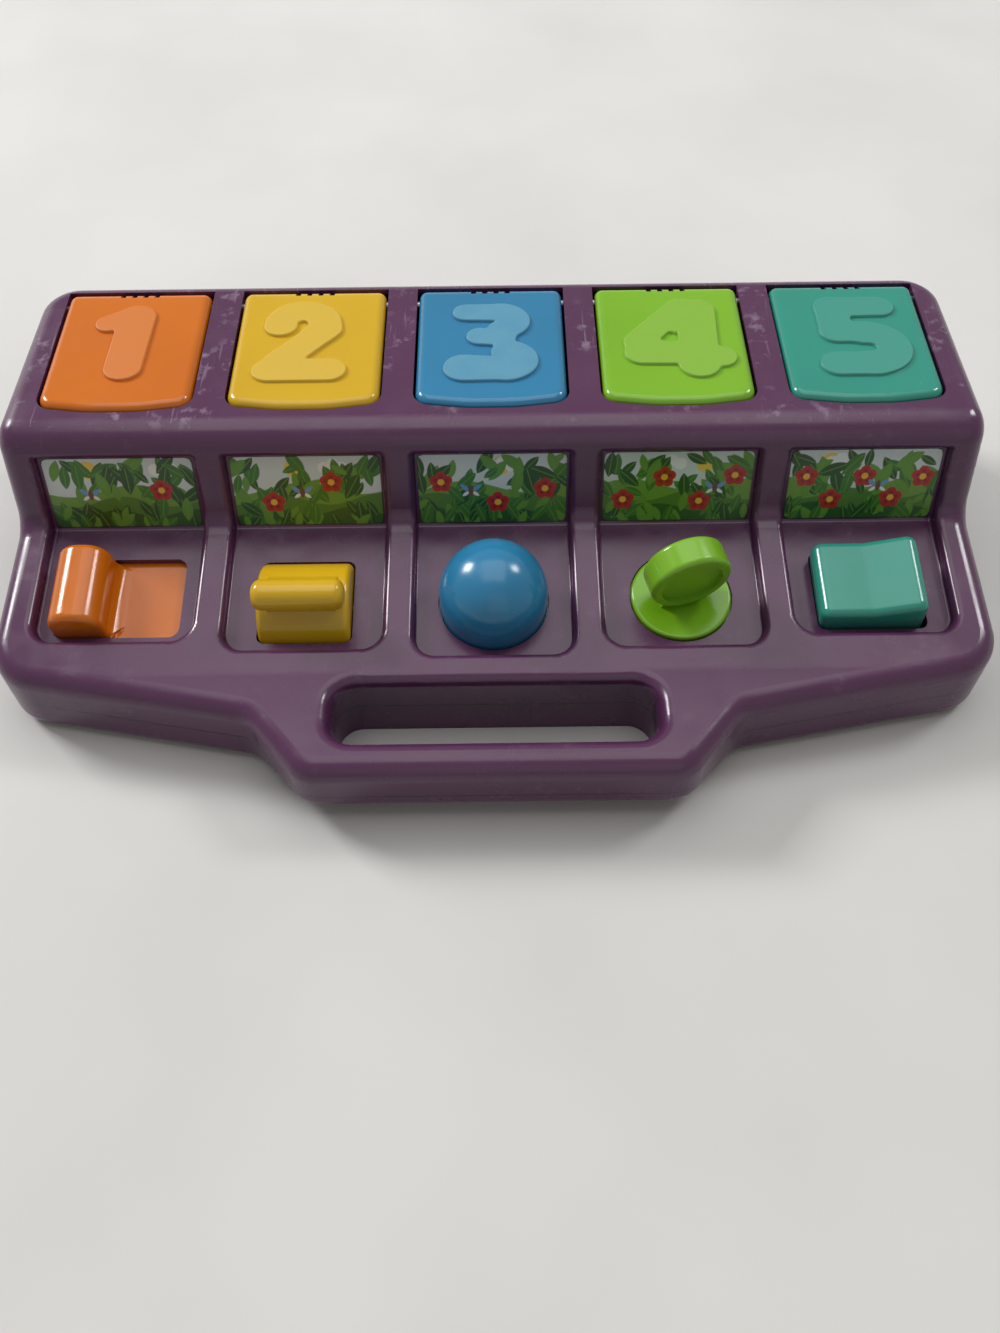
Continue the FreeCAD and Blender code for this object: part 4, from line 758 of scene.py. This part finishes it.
def smile(bay, reach, drop, depth):
    """A path for a mouth: across by reach sin a, down by bend cos a and back by bend sin^2 a."""
    angle = np.linspace(-1.0, 1.0, 17)
    return np.stack([lid_middles[bay] + reach * np.sin(angle) * MM,
                     HEAD_Y + (drop + MOUTH_BEND * np.cos(angle)) * MM,
                     HEAD_Z + (depth + MOUTH_BEND * np.sin(angle) ** 2) * MM], -1)


figure_vinyl = [coat_vinyl(bay) for bay in BAYS]
eye_black = lacquer("Black lacquer", "#151517")
# The white lacquer is only used for painted highlights on the eyes.
eye_glint_paint = lacquer("White painted eye highlight", "#F2F2EE")
nose_tints = [lacquer(f"{animal['name']} nose lacquer", animal["lacquer"]) for animal in ANIMALS]

for bay, animal in enumerate(ANIMALS):
    body = f"lid_{bay + 1}"
    paint(frame["nodes"][f"figure_{bay + 1}"], figure_vinyl[bay])
    x, y, z, radius = animal["eye"]
    for name, side in sides_of(x):
        eye = ellipsoid(f"eye_{name}_{bay + 1}", head_point(bay, side * x, y, z), (radius * MM,) * 3)
        finish_piece(eye, body, eye_black)
        # Painted highlight: a small white ellipsoid on each eye, set to the same side on both eyes, stands
        # for a reflection of the light.
        at = head_point(bay, side * x - 0.5, y - 0.7, z - radius * 0.82)
        glint = ellipsoid(f"eye_glint_{name}_{bay + 1}", at, GLINT_HALF_SIZES, rings=10, sides=14)
        finish_piece(glint, body, eye_glint_paint)
    x, y, z, sizes = animal["nose"]
    for name, side in sides_of(x):
        at = head_point(bay, side * x, y, z)
        nose = ellipsoid(f"nose_{name}_{bay + 1}", at, [size * MM for size in sizes], rings=14, sides=20)
        finish_piece(nose, body, nose_tints[bay])
    if "mouth" in animal:
        mouth = tube(f"mouth_{bay + 1}", smile(bay, *animal["mouth"]), MOUTH_WIRE)
        finish_piece(mouth, body, nose_tints[bay])


# Floor, light and camera

# The floor lies a hair under the toy, is level to one metre behind it, and then rises
FLOOR_GAP = 0.2 * MM
RISE_START = 1.0
RISE_LENGTH = 1.6
RISE_HEIGHT = 1.2
# Name, place, size in metres and power in watts
LAMPS = (
    ("window", (-2.1, 1.35, 1.75), 0.8, 57.0),
    ("lamp", (1.7, 0.95, 1.9), 0.6, 17.0),
    ("ceiling", (0.0, 0.3, 1.8), 1.6, 12.0),
    ("room", (0.3, -1.5, 0.9), 1.2, 0.9),
)
LAMP_TARGET = (0, 0, 0.04)
# Strength of the room as it lights the toy, and as it is seen directly, in reflections and through the toy
ROOM_LIGHT = 0.27
ROOM_SEEN = 0.6
CAMERA_PLACE = (0.002, -0.2898, 0.3606)
CAMERA_TILT = 35.2
CAMERA_ROLL = -0.7
CAMERA_LENS = 31.06
CAMERA_SENSOR = 36.0


def floor_sheet():
    """A flat floor that rises behind the toy: z = height * s^2 (3 - 2 s), with s along the rise."""
    x = np.linspace(-2.5, 2.5, 21)
    y = np.linspace(-2.0, 3.0, 101)
    x, y = np.meshgrid(x, y, indexing="ij")
    share = np.clip((y - RISE_START) / RISE_LENGTH, 0, 1)
    z = RISE_HEIGHT * share * share * (3 - 2 * share) - FLOOR_GAP
    return mesh_object("floor", np.stack([x, y, z], -1).reshape(-1, 3), grid_faces(21, 101).tolist())


floor = floor_sheet()
paint(floor, cloth_cover("Pale cotton cover"))


def area_lamp(name, place, size, power):
    """A square soft lamp that looks at the toy."""
    lamp = bpy.data.lights.new(name, "AREA")
    lamp.size = size
    lamp.energy = power
    lamp_object = bpy.data.objects.new(name, lamp)
    bpy.context.scene.collection.objects.link(lamp_object)
    lamp_object.location = place
    lamp_object.rotation_euler = (Vector(LAMP_TARGET) - Vector(place)).to_track_quat("-Z", "Y").to_euler()


for lamp_settings in LAMPS:
    area_lamp(*lamp_settings)

world = bpy.data.worlds.new("Soft room light")
bpy.context.scene.world = world
world.use_nodes = True
background = world.node_tree.nodes["Background"]
background.inputs["Color"].default_value = linear("#ECEBE8")
direct = add_node(world, "LightPath", {}, "Is Camera Ray")
rays = direct.node.outputs
seen = add_node(world, "Math", {0: direct, 1: rays["Is Transmission Ray"]}, operation="MAXIMUM")
seen = add_node(world, "Math", {0: seen, 1: rays["Is Glossy Ray"]}, operation="MAXIMUM")
strength = add_node(world, "MapRange", {"Value": seen, "To Min": ROOM_LIGHT, "To Max": ROOM_SEEN})
world.node_tree.links.new(strength, background.inputs["Strength"])
bpy.context.scene.view_settings.view_transform = "Standard"

camera = bpy.data.cameras.new("photograph")
camera.lens = CAMERA_LENS
camera.sensor_width = CAMERA_SENSOR
camera_object = bpy.data.objects.new("photograph", camera)
bpy.context.scene.collection.objects.link(camera_object)
camera_object.location = CAMERA_PLACE
camera_object.rotation_euler = (Matrix.Rotation(math.radians(CAMERA_TILT), 3, "X")
                                @ Matrix.Rotation(math.radians(CAMERA_ROLL), 3, "Z")).to_euler()
bpy.context.scene.camera = camera_object
